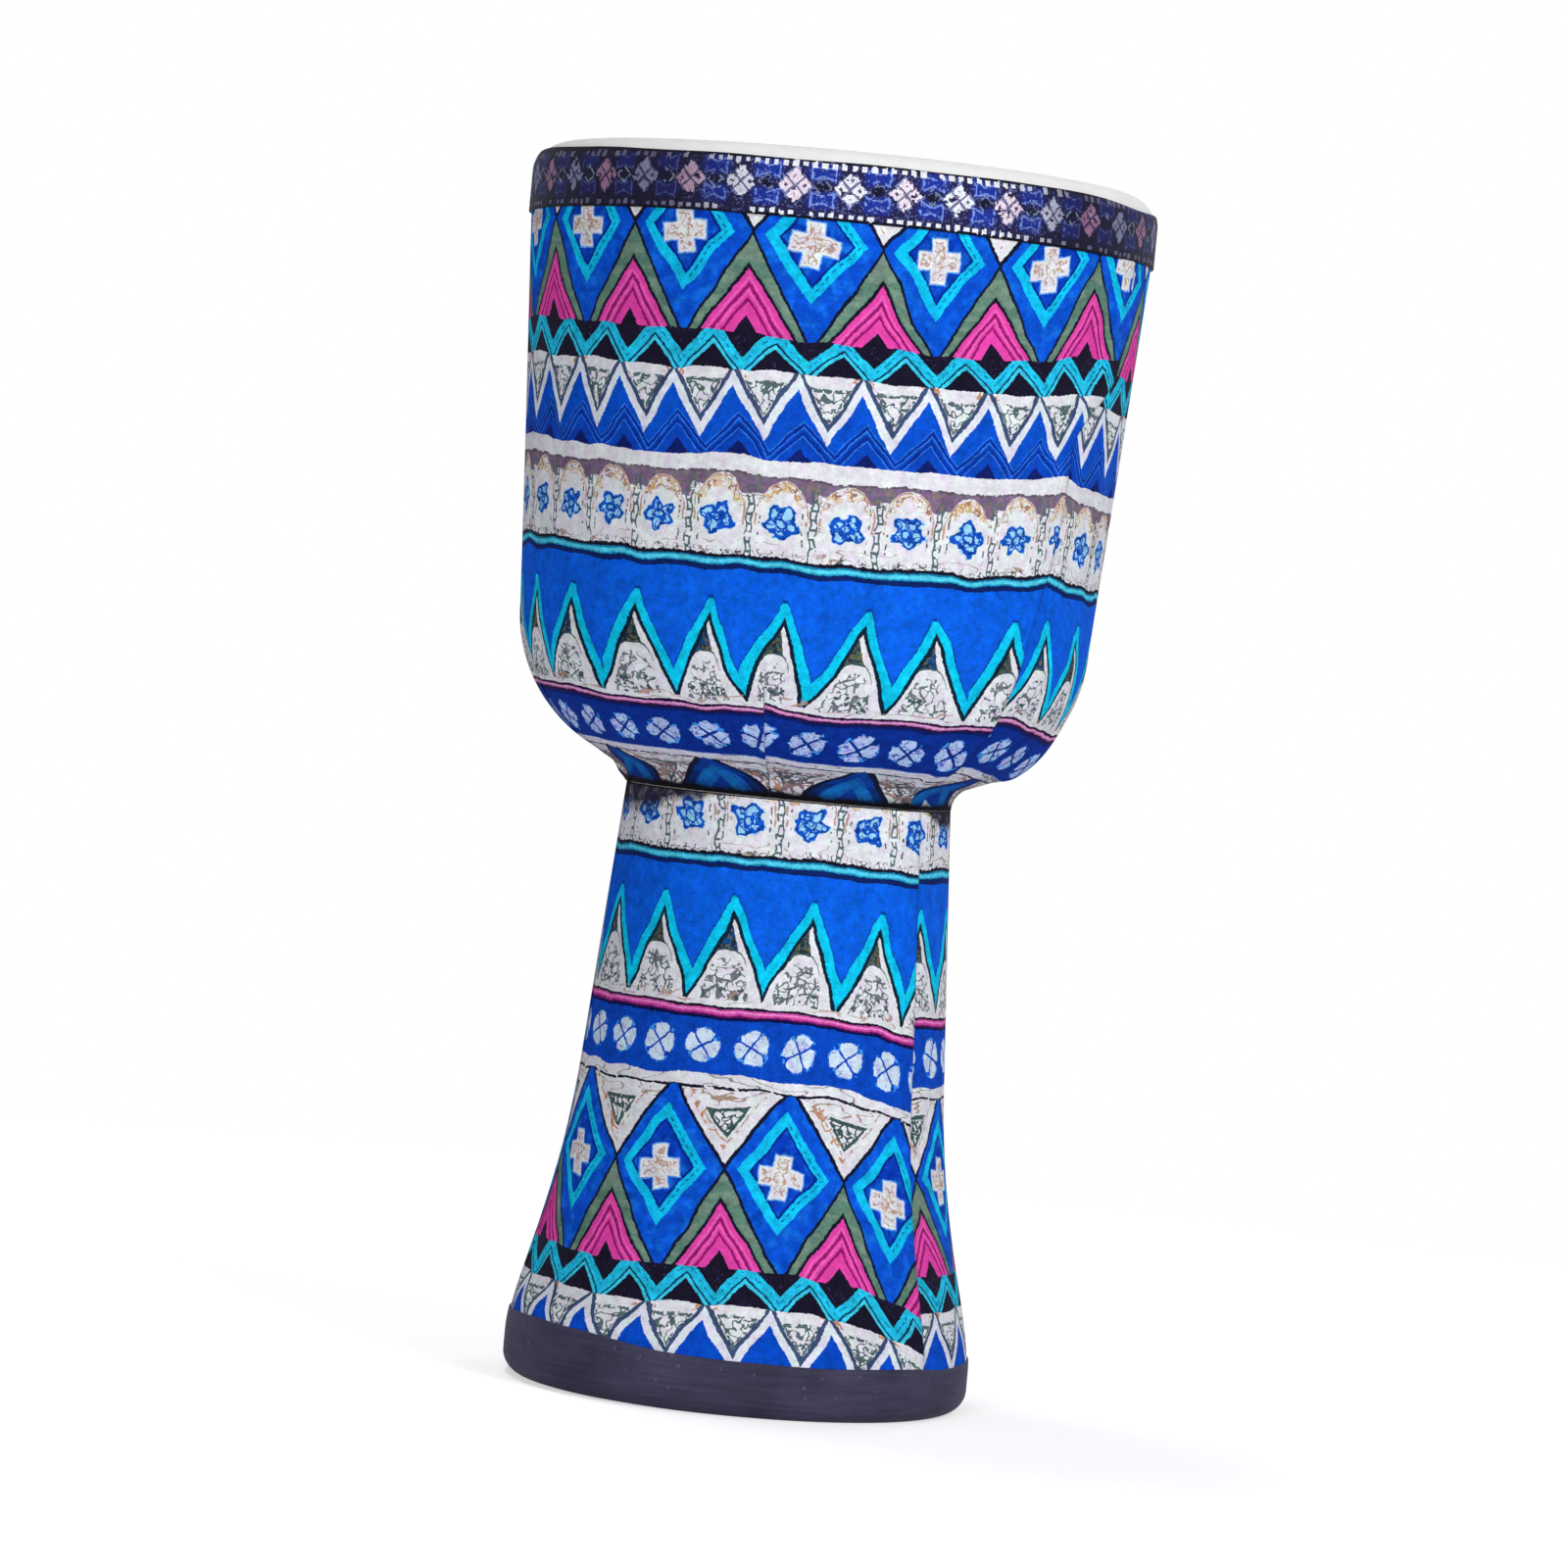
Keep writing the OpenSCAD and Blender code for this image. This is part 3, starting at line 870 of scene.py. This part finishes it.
class Length:
    """A length of the cotton wrapped once round a shell. Its end laps over its start at
    the seam, and at each dart one fold of it lies on the next."""

    lap = 8.0
    fold = 0.5
    fold_w = 4.0

    def __init__(self, outline, seam, darts, step):
        self.outline = outline
        self.seam = seam
        self.s = np.linspace(0.0, outline.length, 150)
        radius = outline.at(self.s)[0]
        lap_angle = math.degrees(self.lap / radius.mean())
        edges = [seam - lap_angle] + darts + [seam + 360.0]
        angles, part = [], []
        for k, (low, high) in enumerate(zip(edges, edges[1:])):
            span = np.linspace(low + 0.15 * (k > 0), high, round((high - low) / step))
            angles += list(span)
            part += [k] * len(span)
        self.base = np.array(angles)
        self.part = np.array(part)
        self.edges = edges

    def angles(self, slant):
        """Each point's angle; slant is how far the seam strays at each s, in degrees."""
        from_end = np.minimum(self.base - self.base[0], self.base[-1] - self.base)
        near_seam = 1 - eased(from_end, 10, 40)
        return self.base[None, :] + slant[:, None] * near_seam[None, :]

    def lift(self, dart_depth):
        """How far the cloth stands off: at the seam's lap, and at the darts, whose
        depth at each s goes from 0 to 1."""
        radius = self.outline.at(self.s)[0].mean()
        degree = math.radians(radius)
        over_start = (self.base - (self.base[-1] - self.lap / degree)) * degree
        lift = np.outer(np.ones(len(self.s)), eased(over_start, -3.0, 0.0) * (cloth_t + 0.15))
        for k, edge in enumerate(self.edges[1:-1]):
            to_edge = (edge - self.base) * degree
            fold = (1 - eased(to_edge, 0.0, self.fold_w)) * (self.part == k)
            lift += np.outer(dart_depth, fold * self.fold)
        return lift

    def edge_shade_and_dust(self, dart_depth):
        """1 on the lower layer beside the edge of the lap and of each dart's fold."""
        degree = math.radians(self.outline.at(self.s)[0].mean())
        past_lap = (self.base - self.seam) * degree
        beside = (past_lap > 0) * (self.part == 0) * (1 - eased(past_lap, 0.2, 1.8))
        edge_shade_and_dust = np.outer(np.ones(len(self.s)), beside)
        for k, edge in enumerate(self.edges[1:-1]):
            past_fold = (self.base - edge) * degree
            beside = (1 - eased(past_fold, 0.1, 1.3)) * (self.part == k + 1)
            edge_shade_and_dust += np.outer(dart_depth, beside)
        return edge_shade_and_dust

    def across(self, angles, centres, datum, spread, radius):
        """u: each part hangs from its own centre; spread is the cloth's own radius and
        radius the one it lies at."""
        middle = np.array(centres)[self.part][None, :]
        return np.radians(middle - datum) * spread + np.radians(angles - middle) * radius[:, None]

    def make(self, name, angles, lift, u, v, seed, edge_shade_and_dust):
        """The piece, with its cut edges turned down to the shell."""
        s = self.s
        stand = cloth_t + lift
        out = self.outline.outward(s)
        radius, height = self.outline.at(s)[:, :, None] + out[:, :, None] * stand
        turn = np.radians(angles)
        points = np.stack([radius * np.sin(turn), -radius * np.cos(turn), height], axis=2)
        radius, height = self.outline.at(s)[:, :, None] + out[:, :, None] * 0.05
        inner = np.stack([radius * np.sin(turn), -radius * np.cos(turn), height + 0 * turn], axis=2)
        marks = np.stack([u, v, np.full(u.shape, float(seed))], axis=2)
        edge_shade_and_dust = np.stack([edge_shade_and_dust, 0 * edge_shade_and_dust, 0 * edge_shade_and_dust], axis=2)
        marks = {"cloth": rimmed(marks, marks), "edge_shade_and_dust": rimmed(edge_shade_and_dust, edge_shade_and_dust)}
        return surface(name, rimmed(points, inner), cotton, marks=marks, strips=2)


def rimmed(middle, edge):
    """A grid with the edge grid's own outside rows and columns added round it."""
    rows = np.vstack([edge[:1], middle, edge[-1:]])
    left = np.vstack([edge[:1, :1], edge[:, :1], edge[-1:, :1]])
    right = np.vstack([edge[:1, -1:], edge[:, -1:], edge[-1:, -1:]])
    return np.hstack([left, rows, right])


# --- Bowl cloth -----------------------------------------------------------------------
# The upper length, glued round the bowl. Its seam is at the front right, and folded
# darts take up the spare cloth where the bowl draws in to the neck.
shoulder_c = (43.2, 251.0)
shoulder_bend = 49.4
neck_r = 52.6
neck_bend = 8.6
bowl_outline = Outline(
    [(rim_r, 378.0), (rim_r, 376.0)]
    + arc(shoulder_c, shoulder_bend, 0.0, -71.9, 60)
    + arc((neck_r + neck_bend, crease_z + 0.16), neck_bend, 108.1, 180.0, 20))


def bowl_cloth():
    length = Length(bowl_outline, 54.0, [105.0, 165.0, 225.0, 285.0, 353.0], 0.9)
    s = length.s
    radius, height = bowl_outline.at(s)
    slant = -7.5 * eased(-height, -300.0, -224.0) + 1.0 * uneven(1, 0.0, s, 30.0)
    slant = slant + 14.0 * eased(height, 315.0, 345.0)
    angles = length.angles(slant)
    dart_depth = eased(-height, -238.0, -226.0)
    lift = length.lift(dart_depth)
    lift = lift + 0.08 * uneven(2, angles, s[:, None], 25.0)

    # Under the bowl, at the right the cloth stands off in a fold with a hard lower edge,
    # and at the left it bridges the hollow of the neck
    at_right = eased(angles, 68.0, 82.0) * (1 - eased(angles, 96.0, 108.0))
    fold = eased(-height, -230.0, -212.0) * (1 - eased(-height, -210.5, -206.0))
    at_left = eased(angles, 248.0, 262.0) * (1 - eased(angles, 276.0, 290.0))
    bridge = eased(-height, -207.0, -201.0) * (1 - eased(-height, -200.0, -194.2))
    lift = lift + 2.1 * at_right * fold[:, None] + 2.2 * at_left * bridge[:, None]

    spread = 97.2
    drawn_in = eased(-height, -246.0, -222.0)
    lying = spread + (radius - spread) * drawn_in
    centres = [75.0, 135.0, 195.0, 255.0, 330.0, 380.0]
    u = length.across(angles, centres, 356.25, spread, lying)

    # The row of mountains was pulled to the right of the front as it was glued
    pulled = np.interp(
        angles, [46, 58, 80, 90, 280, 300, 306, 314, 325, 334, 346, 375, 390, 405, 414],
        [-5, -5, -1, 0, 0, 5.5, 5.5, 2.3, 0, -2.5, 0, -1, -3.5, -7, -8])
    in_row = eased(-height, -274.0, -260.0) * (1 - eased(-height, -224.5, -219.5))
    u = u + pulled * in_row[:, None]
    crowded = 4.5 * eased(angles, 362.0, 390.0) * eased(height[:, None], 322.0, 350.0)
    u = u + crowded
    u = u - 2.6 * (length.part == 4) * eased(-height, -209.0, -207.0)[:, None]

    # How far the print sits above its level, by angle
    rise = np.interp(
        angles, [52, 60, 75, 140, 220, 285, 318, 345, 372, 390, 405, 412],
        [4.8, 2.0, 0.0, 0.5, 2.0, 3.0, 0.3, 0.3, 0.0, 0.6, 2.5, 4.4])
    end_drop = eased(angles, 380.0, 412.0) * eased(-height[:, None], -262.0, -228.0)
    end_drop = end_drop * (1.0 + 2.5 * eased(-height[:, None], -221.0, -212.0))
    near_rim = np.interp(
        angles, [62, 75, 90, 340, 365, 378, 392, 404, 416, 428],
        [2.5, -0.5, 0, 0, -2.2, -2.7, -3.2, -1.6, 0.4, 0.8])
    rise = rise + near_rim * eased(height[:, None], 328.0, 352.0)
    past_dart = (length.part == 5) * (1 - eased(length.base, 353.0, 366.0))
    dart_step = 1.8 * past_dart * eased(-height, -240.0, -226.0)[:, None]
    v = s[:, None] - bowl_outline.where(372.0) + rise - end_drop + dart_step
    piece = length.make("bowl_cloth", angles, lift, u, v, 3, length.edge_shade_and_dust(dart_depth))
    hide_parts("bowl_wrap")


bowl_cloth()


# --- Stem cloth -----------------------------------------------------------------------
# The lower length, glued round the stem and turned under the foot band. It is cut long
# enough for the foot, so darts at the back take up the rest towards the neck.
foot_r = 75.0
foot_bend = 6.0
waist_r = 59.2
waist_z = 103.0
cloth_end_z = 9.0


def flare(t):
    """The stem's curve from the foot (t = 0) to the waist (t = 1)."""
    ends = np.array([(foot_r, 13.2), (foot_r, 30.2), (62.8, 55.0), (waist_r, waist_z)])
    weights = [(1 - t) ** 3, 3 * t * (1 - t) ** 2, 3 * t * t * (1 - t), t ** 3]
    return tuple(sum(w * p for w, p in zip(weights, ends)))


stem_outline = Outline(
    [(neck_r, crease_z - 0.14)] + [flare(t) for t in np.linspace(1, 0, 50)]
    + [(foot_r, cloth_end_z)])


def stem_cloth():
    length = Length(stem_outline, 53.0, [130.0, 205.0, 280.0], 1.3)
    s = length.s
    radius, height = stem_outline.at(s)
    angles = length.angles(1.0 * uneven(4, 0.0, s, 25.0))
    dart_depth = 0.4 + 0.6 * eased(height, 20.0, 60.0)
    lift = length.lift(dart_depth) * eased(height, 12.0, 24.0)[:, None]
    lift = lift + 0.07 * uneven(5, angles, s[:, None], 20.0)

    spread = radius * (1.04 - 0.09 * eased(-height, -38.0, -24.0))
    u = length.across(angles, [75.0, 168.0, 243.0, 369.5], 369.5, 71.6, spread)
    u = u - 3.0 * eased(height, 110.0, 140.0)[:, None]
    askew = np.interp(height, [30, 50, 76, 108, 124, 140, 165, 180], [-5, -4, -1.6, 0, 4, 5, 5, 0])
    u = u + askew[:, None] * (length.part == 0)
    deep = 2.0 + (175.0 - height[:, None]) * 0.075
    t = (angles - 365.0) / 47.0
    sag = deep * np.where(t > 0, t * t, t * t / 6) * eased(angles, 290.0, 330.0)
    v = s[:, None] - stem_outline.where(77.5) - sag
    piece = length.make("stem_cloth", angles, lift, u, v, 8, length.edge_shade_and_dust(dart_depth))
    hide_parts("stem_wrap")


stem_cloth()


# --- Ribbon ---------------------------------------------------------------------------
# A woven black and blue ribbon, drawn tight round the rim over the skirt of the skin and
# glued. It hides the staples; its end laps over its start at the back.
ribbon_t = 1.0
ribbon_z = 377.3
ribbon_pitch = 2 * math.pi * (rim_r + skin_t + ribbon_t) / 37
thread = 0.42


def woven_ribbon():
    """White and pink lozenges of four small squares, with blue bows between them and a
    row of white dots along each edge, all stepped by the threads."""
    material, tree, shader = new_finish("woven_ribbon", 0.5, Specular_IOR_Level=0.02)
    marks = tree.nodes.new("ShaderNodeAttribute")
    marks.attribute_name = "ribbon"
    along, up, _ = split(tree, marks.outputs["Vector"])
    pick = (along / thread).floor()
    row = (up / thread).floor()
    ribbon = Cloth(tree, pick * thread, row * thread, 5.0)
    drift = split(tree, noise(tree, ribbon.at, 0.3, 1.0, colour=True))
    ribbon.u = pick * thread + (drift[0] - 0.5) * 1.4
    y = row * thread + (drift[1] - 0.5) * 1.2

    # Painted light and shade: the ribbon is painted bright at the front and darker and greyer towards the
    # sides, as if lit from the front
    front = math.pi * 2 * (rim_r + skin_t + ribbon_t)
    painted_side_shade = (abs(along - front - 12.0) - 36.0) / 34.0
    painted_side_shade = painted_side_shade.at_least(0.0).at_most(1.0) * (0.8 + noise(tree, ribbon.at, 0.2, 2.0) * 0.3)
    ribbon.colour = over(tree, painted_side_shade, ink(30, 28, 46), ink(42, 40, 78))

    def dyed(mask, colour):
        ribbon.ink_over(mask, colour)

    # Blue ground and bows between the lozenges
    x, number = ribbon.cell(ribbon_pitch, 1.2 + ribbon_pitch / 2)
    from_middle = abs(y - 9.9)
    ground = (abs(x) + abs(from_middle - 4.4) * 0.5 < 5.4) * (from_middle > 1.4) * (from_middle < 7.2)
    dyed(ground, over(tree, painted_side_shade, ink(32, 31, 62), ink(40, 50, 136)))
    bow = abs(from_middle - 4.1) - 0.9 - abs(x) * 0.34
    bow = bow.at_least(abs(x) - 3.5)
    outline = over(tree, painted_side_shade, ink(60, 64, 112), ink(124, 152, 224))
    dyed((bow < 0.35) * ribbon.blots(0.72), outline)
    dyed(bow < -0.2, over(tree, painted_side_shade, ink(34, 35, 84), ink(36, 56, 158)))
    middle = abs(x) + from_middle * 1.1
    dyed((abs(middle - 2.7) < 0.4) * ribbon.blots(0.5), ink(120, 134, 156))
    dyed(middle < 2.1, ink(30, 28, 50))

    # The lozenges
    x, number = ribbon.cell(ribbon_pitch, 1.2)
    down_right, up_right = (x + y - 9.7) * 0.707, (x - y + 9.7) * 0.707
    p, q = abs(down_right), abs(up_right)
    ragged = noise(tree, ribbon.at, 0.9, 2.0)
    reach = p.at_least(q) + (ragged - 0.5) * 1.8
    pinkish = number * 0.5 - (number * 0.5).floor() < 0.25
    pale = over(tree, pinkish, ink(238, 224, 236), ink(234, 237, 245))
    side_shaded_lozenge = over(tree, pinkish, ink(140, 100, 130), ink(112, 116, 148))
    # At the sides the lozenges take their painted shaded colour
    pale = over(tree, painted_side_shade, side_shaded_lozenge, pale)
    worn = ribbon.blots(0.84)
    dyed((reach < 4.3) * ribbon.blots(0.5), over(tree, painted_side_shade, ink(58, 54, 86), ink(120, 130, 190)))
    dyed((reach < 3.7) * worn, pale)
    dyed((reach < 3.7) * (p.at_most(q) < 0.36), over(tree, painted_side_shade, ink(56, 48, 78), ink(112, 108, 146)))
    loose = (noise(tree, ribbon.at, 1.3, 2.0) > 0.6) * (reach > 4.0) * (1.0 - painted_side_shade)
    dyed(loose * 0.5, ink(120, 134, 196))
    dot = (abs(p - 2.1).at_least(abs(q - 2.1)) < 0.55) * (down_right * up_right > 0.0)
    dyed(dot, ink(70, 62, 96))
    speck = (abs(p - 2.1).at_least(abs(q - 2.1)) < 0.35) * (down_right * up_right < 0.0)
    dyed(speck * (1.0 - painted_side_shade), ink(160, 140, 176))

    # Dots along both edges, and black edges
    for centre, salt in ((1.1, 63.0), (16.3, 64.0)):
        number = (pick * thread / 3.1 + 0.5).floor()
        x = pick * thread - number * 3.1
        size = 0.68 + ribbon.chance(number, salt) * 0.3
        # Fewer and darker dots towards the sides, as painted shade
        seen = ribbon.chance(number, salt + 3.0) > 0.08 + painted_side_shade * 0.3
        dots = (abs(x) < size) * (abs(y - centre) < size) * seen
        dyed(dots, over(tree, painted_side_shade, ink(84, 80, 112), ink(234, 236, 244)))
    dyed((y < 0.5).at_least(y > 17.2), ink(24, 22, 34))

    shade = ribbon.chance(pick, row)
    colour = tinted(tree, ribbon.colour, 0.87 + shade * 0.46)
    plug(tree, colour, shader.inputs["Base Color"])
    plug(tree, 0.46 + shade * 0.16, shader.inputs["Roughness"])
    plug(tree, 0.05 + shade * 0.1, shader.inputs["Metallic"])
    warp = (along * (2 * math.pi / thread)).sine()
    weft = (up * (2 * math.pi / thread)).sine()
    relief(tree, shader, warp * weft * 0.5 + shade * 0.3, 0.12 * MM)
    return material


ribbon_outline = Outline(
    arc((rim_r - rim_bend, rim_z - skin_t - rim_bend), rim_bend + skin_t, 60.0, 0.0, 24)
    + [(rim_r + skin_t, z) for z in np.linspace(389.0, ribbon_z - 1.0, 14)])


def strip(outline, angles, top, foot, stand, lifted, rows):
    """A grid of points for a strip that lies on an outline between two distances along
    it, with its cut edges turned down. It stands off it by stand, and by lifted more
    where it laps over itself, but is pressed flat under the drum's foot."""
    share = np.linspace(0.0, 1.0, rows)[:, None]
    share = np.vstack([share[:1], share[:1] + 0.012, share[1:-1], share[-1:] - 0.012, share[-1:]])
    s = top + (foot - top) * share
    out = outline.outward(s)
    full = stand + lifted * eased(outline.at(s)[1], 3.0, 14.0)
    full[0] = full[0] * 0.7
    full[-1] = full[-1] * 0.7
    turn = np.radians(angles) + 0 * s
    grids = []
    for off in (full, np.full(s.shape, 0.05)):
        radius, height = outline.at(s) + out * off
        grids.append(np.stack([radius * np.sin(turn), -radius * np.cos(turn), height], axis=2))
    return rimmed(*grids), s


def ribbon_piece():
    seam, lap = 196.0, 8.4
    angles = np.linspace(seam, seam + 360.0 + lap, 460)
    wave = uneven(11, angles, 0.0, 20.0)
    lifted = eased(angles, seam + 360.0 - 1.2, seam + 360.0 + 0.6) * 0.9
    top_z = 396.2 + 0.5 * wave - 1.2 * np.cos(np.radians(angles)).clip(0, 1) ** 3
    top_z = top_z - 2.6 * eased(angles, 400.0, 432.0) * (1 - eased(angles, 455.0, 490.0))
    top = ribbon_outline.where(top_z)
    foot = ribbon_outline.where(ribbon_z + 0.15 * uneven(12, angles, 0.0, 20.0))
    stand = ribbon_t + 0.06 * uneven(13, angles, 0.0, 20.0)
    points, s = strip(ribbon_outline, angles, top, foot, stand, lifted, 16)
    along = np.radians(angles) * (rim_r + skin_t + ribbon_t) + 0 * s
    marks = np.stack([along, foot - s, 0 * s], axis=2)
    piece = surface(
        "ribbon", points, woven_ribbon(), marks={"ribbon": rimmed(marks, marks)}, strips=6
    )
    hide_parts("rim_ribbon")


ribbon_piece()


# --- Foot band ------------------------------------------------------------------------
# A strip of thin dark grey sheet rubber, glued round the foot over the end of the cloth
# and turned under the edge of the shell. Its end laps over its start at the back.
band_t = 1.2


def sheet_rubber():
    """Matt rubber: a fine grain, faint streaks, scuffs and a few pale specks."""
    material, tree, shader = new_finish("sheet_rubber", 0.7, Specular_IOR_Level=0.1)
    where = place(tree)
    x, y, z = split(tree, where)
    cloud = noise(tree, where, 0.05, 3.0)
    grain = noise(tree, where, 1.3, 3.0)
    streaks = noise(tree, point(tree, x * 0.05, y * 0.05, z * 0.9), 1.0, 3.0)
    marks = noise(tree, where, 0.42, 2.0)
    blend = 0.5 + (cloud - 0.5) * 1.5 + (streaks - 0.5) * 1.2
    colour = over(tree, blend.at_least(0.0).at_most(1.0), ink(50, 48, 66), ink(74, 71, 96))
    colour = over(tree, (marks > 0.71) * 0.5, ink(110, 106, 122), colour)
    colour = tinted(tree, colour, 0.75 + grain * 0.5)
    plug(tree, colour, shader.inputs["Base Color"])
    plug(tree, 0.6 + grain * 0.25, shader.inputs["Roughness"])
    relief(tree, shader, grain * 0.5 + streaks * 0.5, 0.2 * MM)
    return material


def band_piece():
    inside = foot_r - foot_bend * 2
    under = arc((foot_r - foot_bend, foot_bend + band_t), foot_bend, 0.0, -90.0, 24)
    outline = Outline(
        [flare(t) for t in np.linspace(0.4, 0.0, 24)] + under
        + [(r, band_t) for r in np.linspace(foot_r - foot_bend - 1.0, inside, 6)])
    seam, lap = 190.0, 9.0
    angles = np.linspace(seam, seam + 360.0 + lap, 420)
    lifted = eased(angles, seam + 360.0 - 1.6, seam + 360.0 + 0.8) * band_t
    top_z = np.interp(
        angles, [190, 250, 300, 320, 330, 340, 348, 360, 380, 410, 420, 450, 560],
        [20, 20.6, 21.7, 21, 20, 18.7, 18.3, 18.1, 17.8, 17.9, 17, 17.5, 20])
    top = outline.where(top_z + 0.15 * uneven(21, angles, 0.0, 20.0))
    stand = band_t + 0.05 * uneven(22, angles, 0.0, 20.0)
    points, s = strip(outline, angles, top, outline.length, stand, lifted, 40)
    points[:, :, 2] = points[:, :, 2].clip(0.0)
    piece = surface("foot_band_strip", points, sheet_rubber(), strips=4)
    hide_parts("foot_band")


band_piece()


# --- Floor and lights -----------------------------------------------------------------
# A white paper floor that fades into a white room, with two soft lamps in front, the
# stronger one to the right, one above and a weak one behind. The room's own light is
# weaker from the left.
def shown_white(tree):
    """1 for what the eye sees, straight or in a shiny or a clear surface."""
    rays = tree.nodes.new("ShaderNodeLightPath")
    kinds = [Value(tree, rays.outputs[f"Is {kind} Ray"]) for kind in ("Camera", "Glossy", "Transmission")]
    return kinds[0].at_least(kinds[1]).at_least(kinds[2])


def white_paper():
    """Paper that takes the drum's shadow near it, and is pure white further off. It is
    clear from below and under the drum's hollow, so that the underside and the inside can
    be seen."""
    material, tree, shader = new_finish("white_paper", 0.9, Specular_IOR_Level=0.0)
    where = place(tree)
    x, y, z = split(tree, where)
    fibre = noise(tree, where, 0.02, 2.0)
    seen = shown_white(tree)
    paper = over(tree, fibre, ink(250, 250, 250), ink(247, 247, 247))
    plug(tree, over(tree, seen, paper, ink(226, 228, 234)), shader.inputs["Base Color"])
    glow = tree.nodes.new("ShaderNodeEmission")
    plug(tree, seen * 0.5, glow.inputs["Strength"])
    lit = tree.nodes.new("ShaderNodeAddShader")
    tree.links.new(shader.outputs[0], lit.inputs[0])
    tree.links.new(glow.outputs[0], lit.inputs[1])
    white = tree.nodes.new("ShaderNodeEmission")
    out = (x * x + y * y).power(0.5)
    far = (out - 320.0) / 500.0
    faded = tree.nodes.new("ShaderNodeMixShader")
    plug(tree, far.at_least(0.0).at_most(1.0) * seen, faded.inputs[0])
    tree.links.new(lit.outputs[0], faded.inputs[1])
    tree.links.new(white.outputs[0], faded.inputs[2])
    clear = tree.nodes.new("ShaderNodeBsdfTransparent")
    sided = tree.nodes.new("ShaderNodeMixShader")
    below = Value(tree, tree.nodes.new("ShaderNodeNewGeometry").outputs["Backfacing"])
    plug(tree, below.at_least(out < 62.0), sided.inputs[0])
    tree.links.new(faded.outputs[0], sided.inputs[1])
    tree.links.new(clear.outputs[0], sided.inputs[2])
    tree.links.new(sided.outputs[0], tree.nodes["Material Output"].inputs[0])
    return material


def paper_floor():
    half = 6.0
    corners = [(-half, -half, 0), (half, -half, 0), (half, half, 0), (-half, half, 0)]
    mesh = bpy.data.meshes.new("floor")
    mesh.from_pydata(corners, [], [(0, 1, 2, 3)])
    mesh.materials.append(white_paper())
    floor = bpy.data.objects.new("floor", mesh)
    bpy.context.scene.collection.objects.link(floor)


paper_floor()


def soft_lamp(name, where, size, power):
    """A round lamp of the given size in metres and power in watts, aimed at the drum."""
    lamp = bpy.data.objects.new(name, bpy.data.lights.new(name, "AREA"))
    lamp.data.shape = "DISK"
    lamp.data.size = size
    lamp.data.energy = power
    bpy.context.scene.collection.objects.link(lamp)
    spot = Vector(where)
    aimed = (Vector((0.0, 0.0, 0.22)) - spot).to_track_quat("-Z", "Y").to_matrix().to_4x4()
    lamp.matrix_world = Matrix.Translation(spot) @ aimed


soft_lamp("key_lamp", (1.5, -1.65, 1.05), 0.9, 23.5)
soft_lamp("front_lamp", (-0.6, -2.35, 0.5), 1.2, 24.5)
soft_lamp("top_lamp", (-0.6, 0.5, 2.4), 1.0, 18.0)
soft_lamp("back_right_lamp", (1.4, 1.9, 1.3), 1.0, 7.0)


def white_room():
    """Light from all round, and plain white to the eye and in reflections."""
    world = bpy.data.worlds.new("white_room")
    world.use_nodes = True
    bpy.context.scene.world = world
    tree = world.node_tree
    around = tree.nodes["Background"]
    around.inputs["Color"].default_value = (0.96, 0.98, 1.0, 1.0)
    side = split(tree, tree.nodes.new("ShaderNodeTexCoord").outputs["Generated"])[0]
    plug(tree, 0.15 + side * 0.16, around.inputs["Strength"])
    white = tree.nodes.new("ShaderNodeBackground")
    white.inputs["Color"].default_value = (1.0, 1.0, 1.0, 1.0)
    chosen = tree.nodes.new("ShaderNodeMixShader")
    plug(tree, shown_white(tree), chosen.inputs[0])
    tree.links.new(around.outputs[0], chosen.inputs[1])
    tree.links.new(white.outputs[0], chosen.inputs[2])
    tree.links.new(chosen.outputs[0], tree.nodes["World Output"].inputs[0])


white_room()
bpy.context.scene.view_settings.view_transform = "Standard"
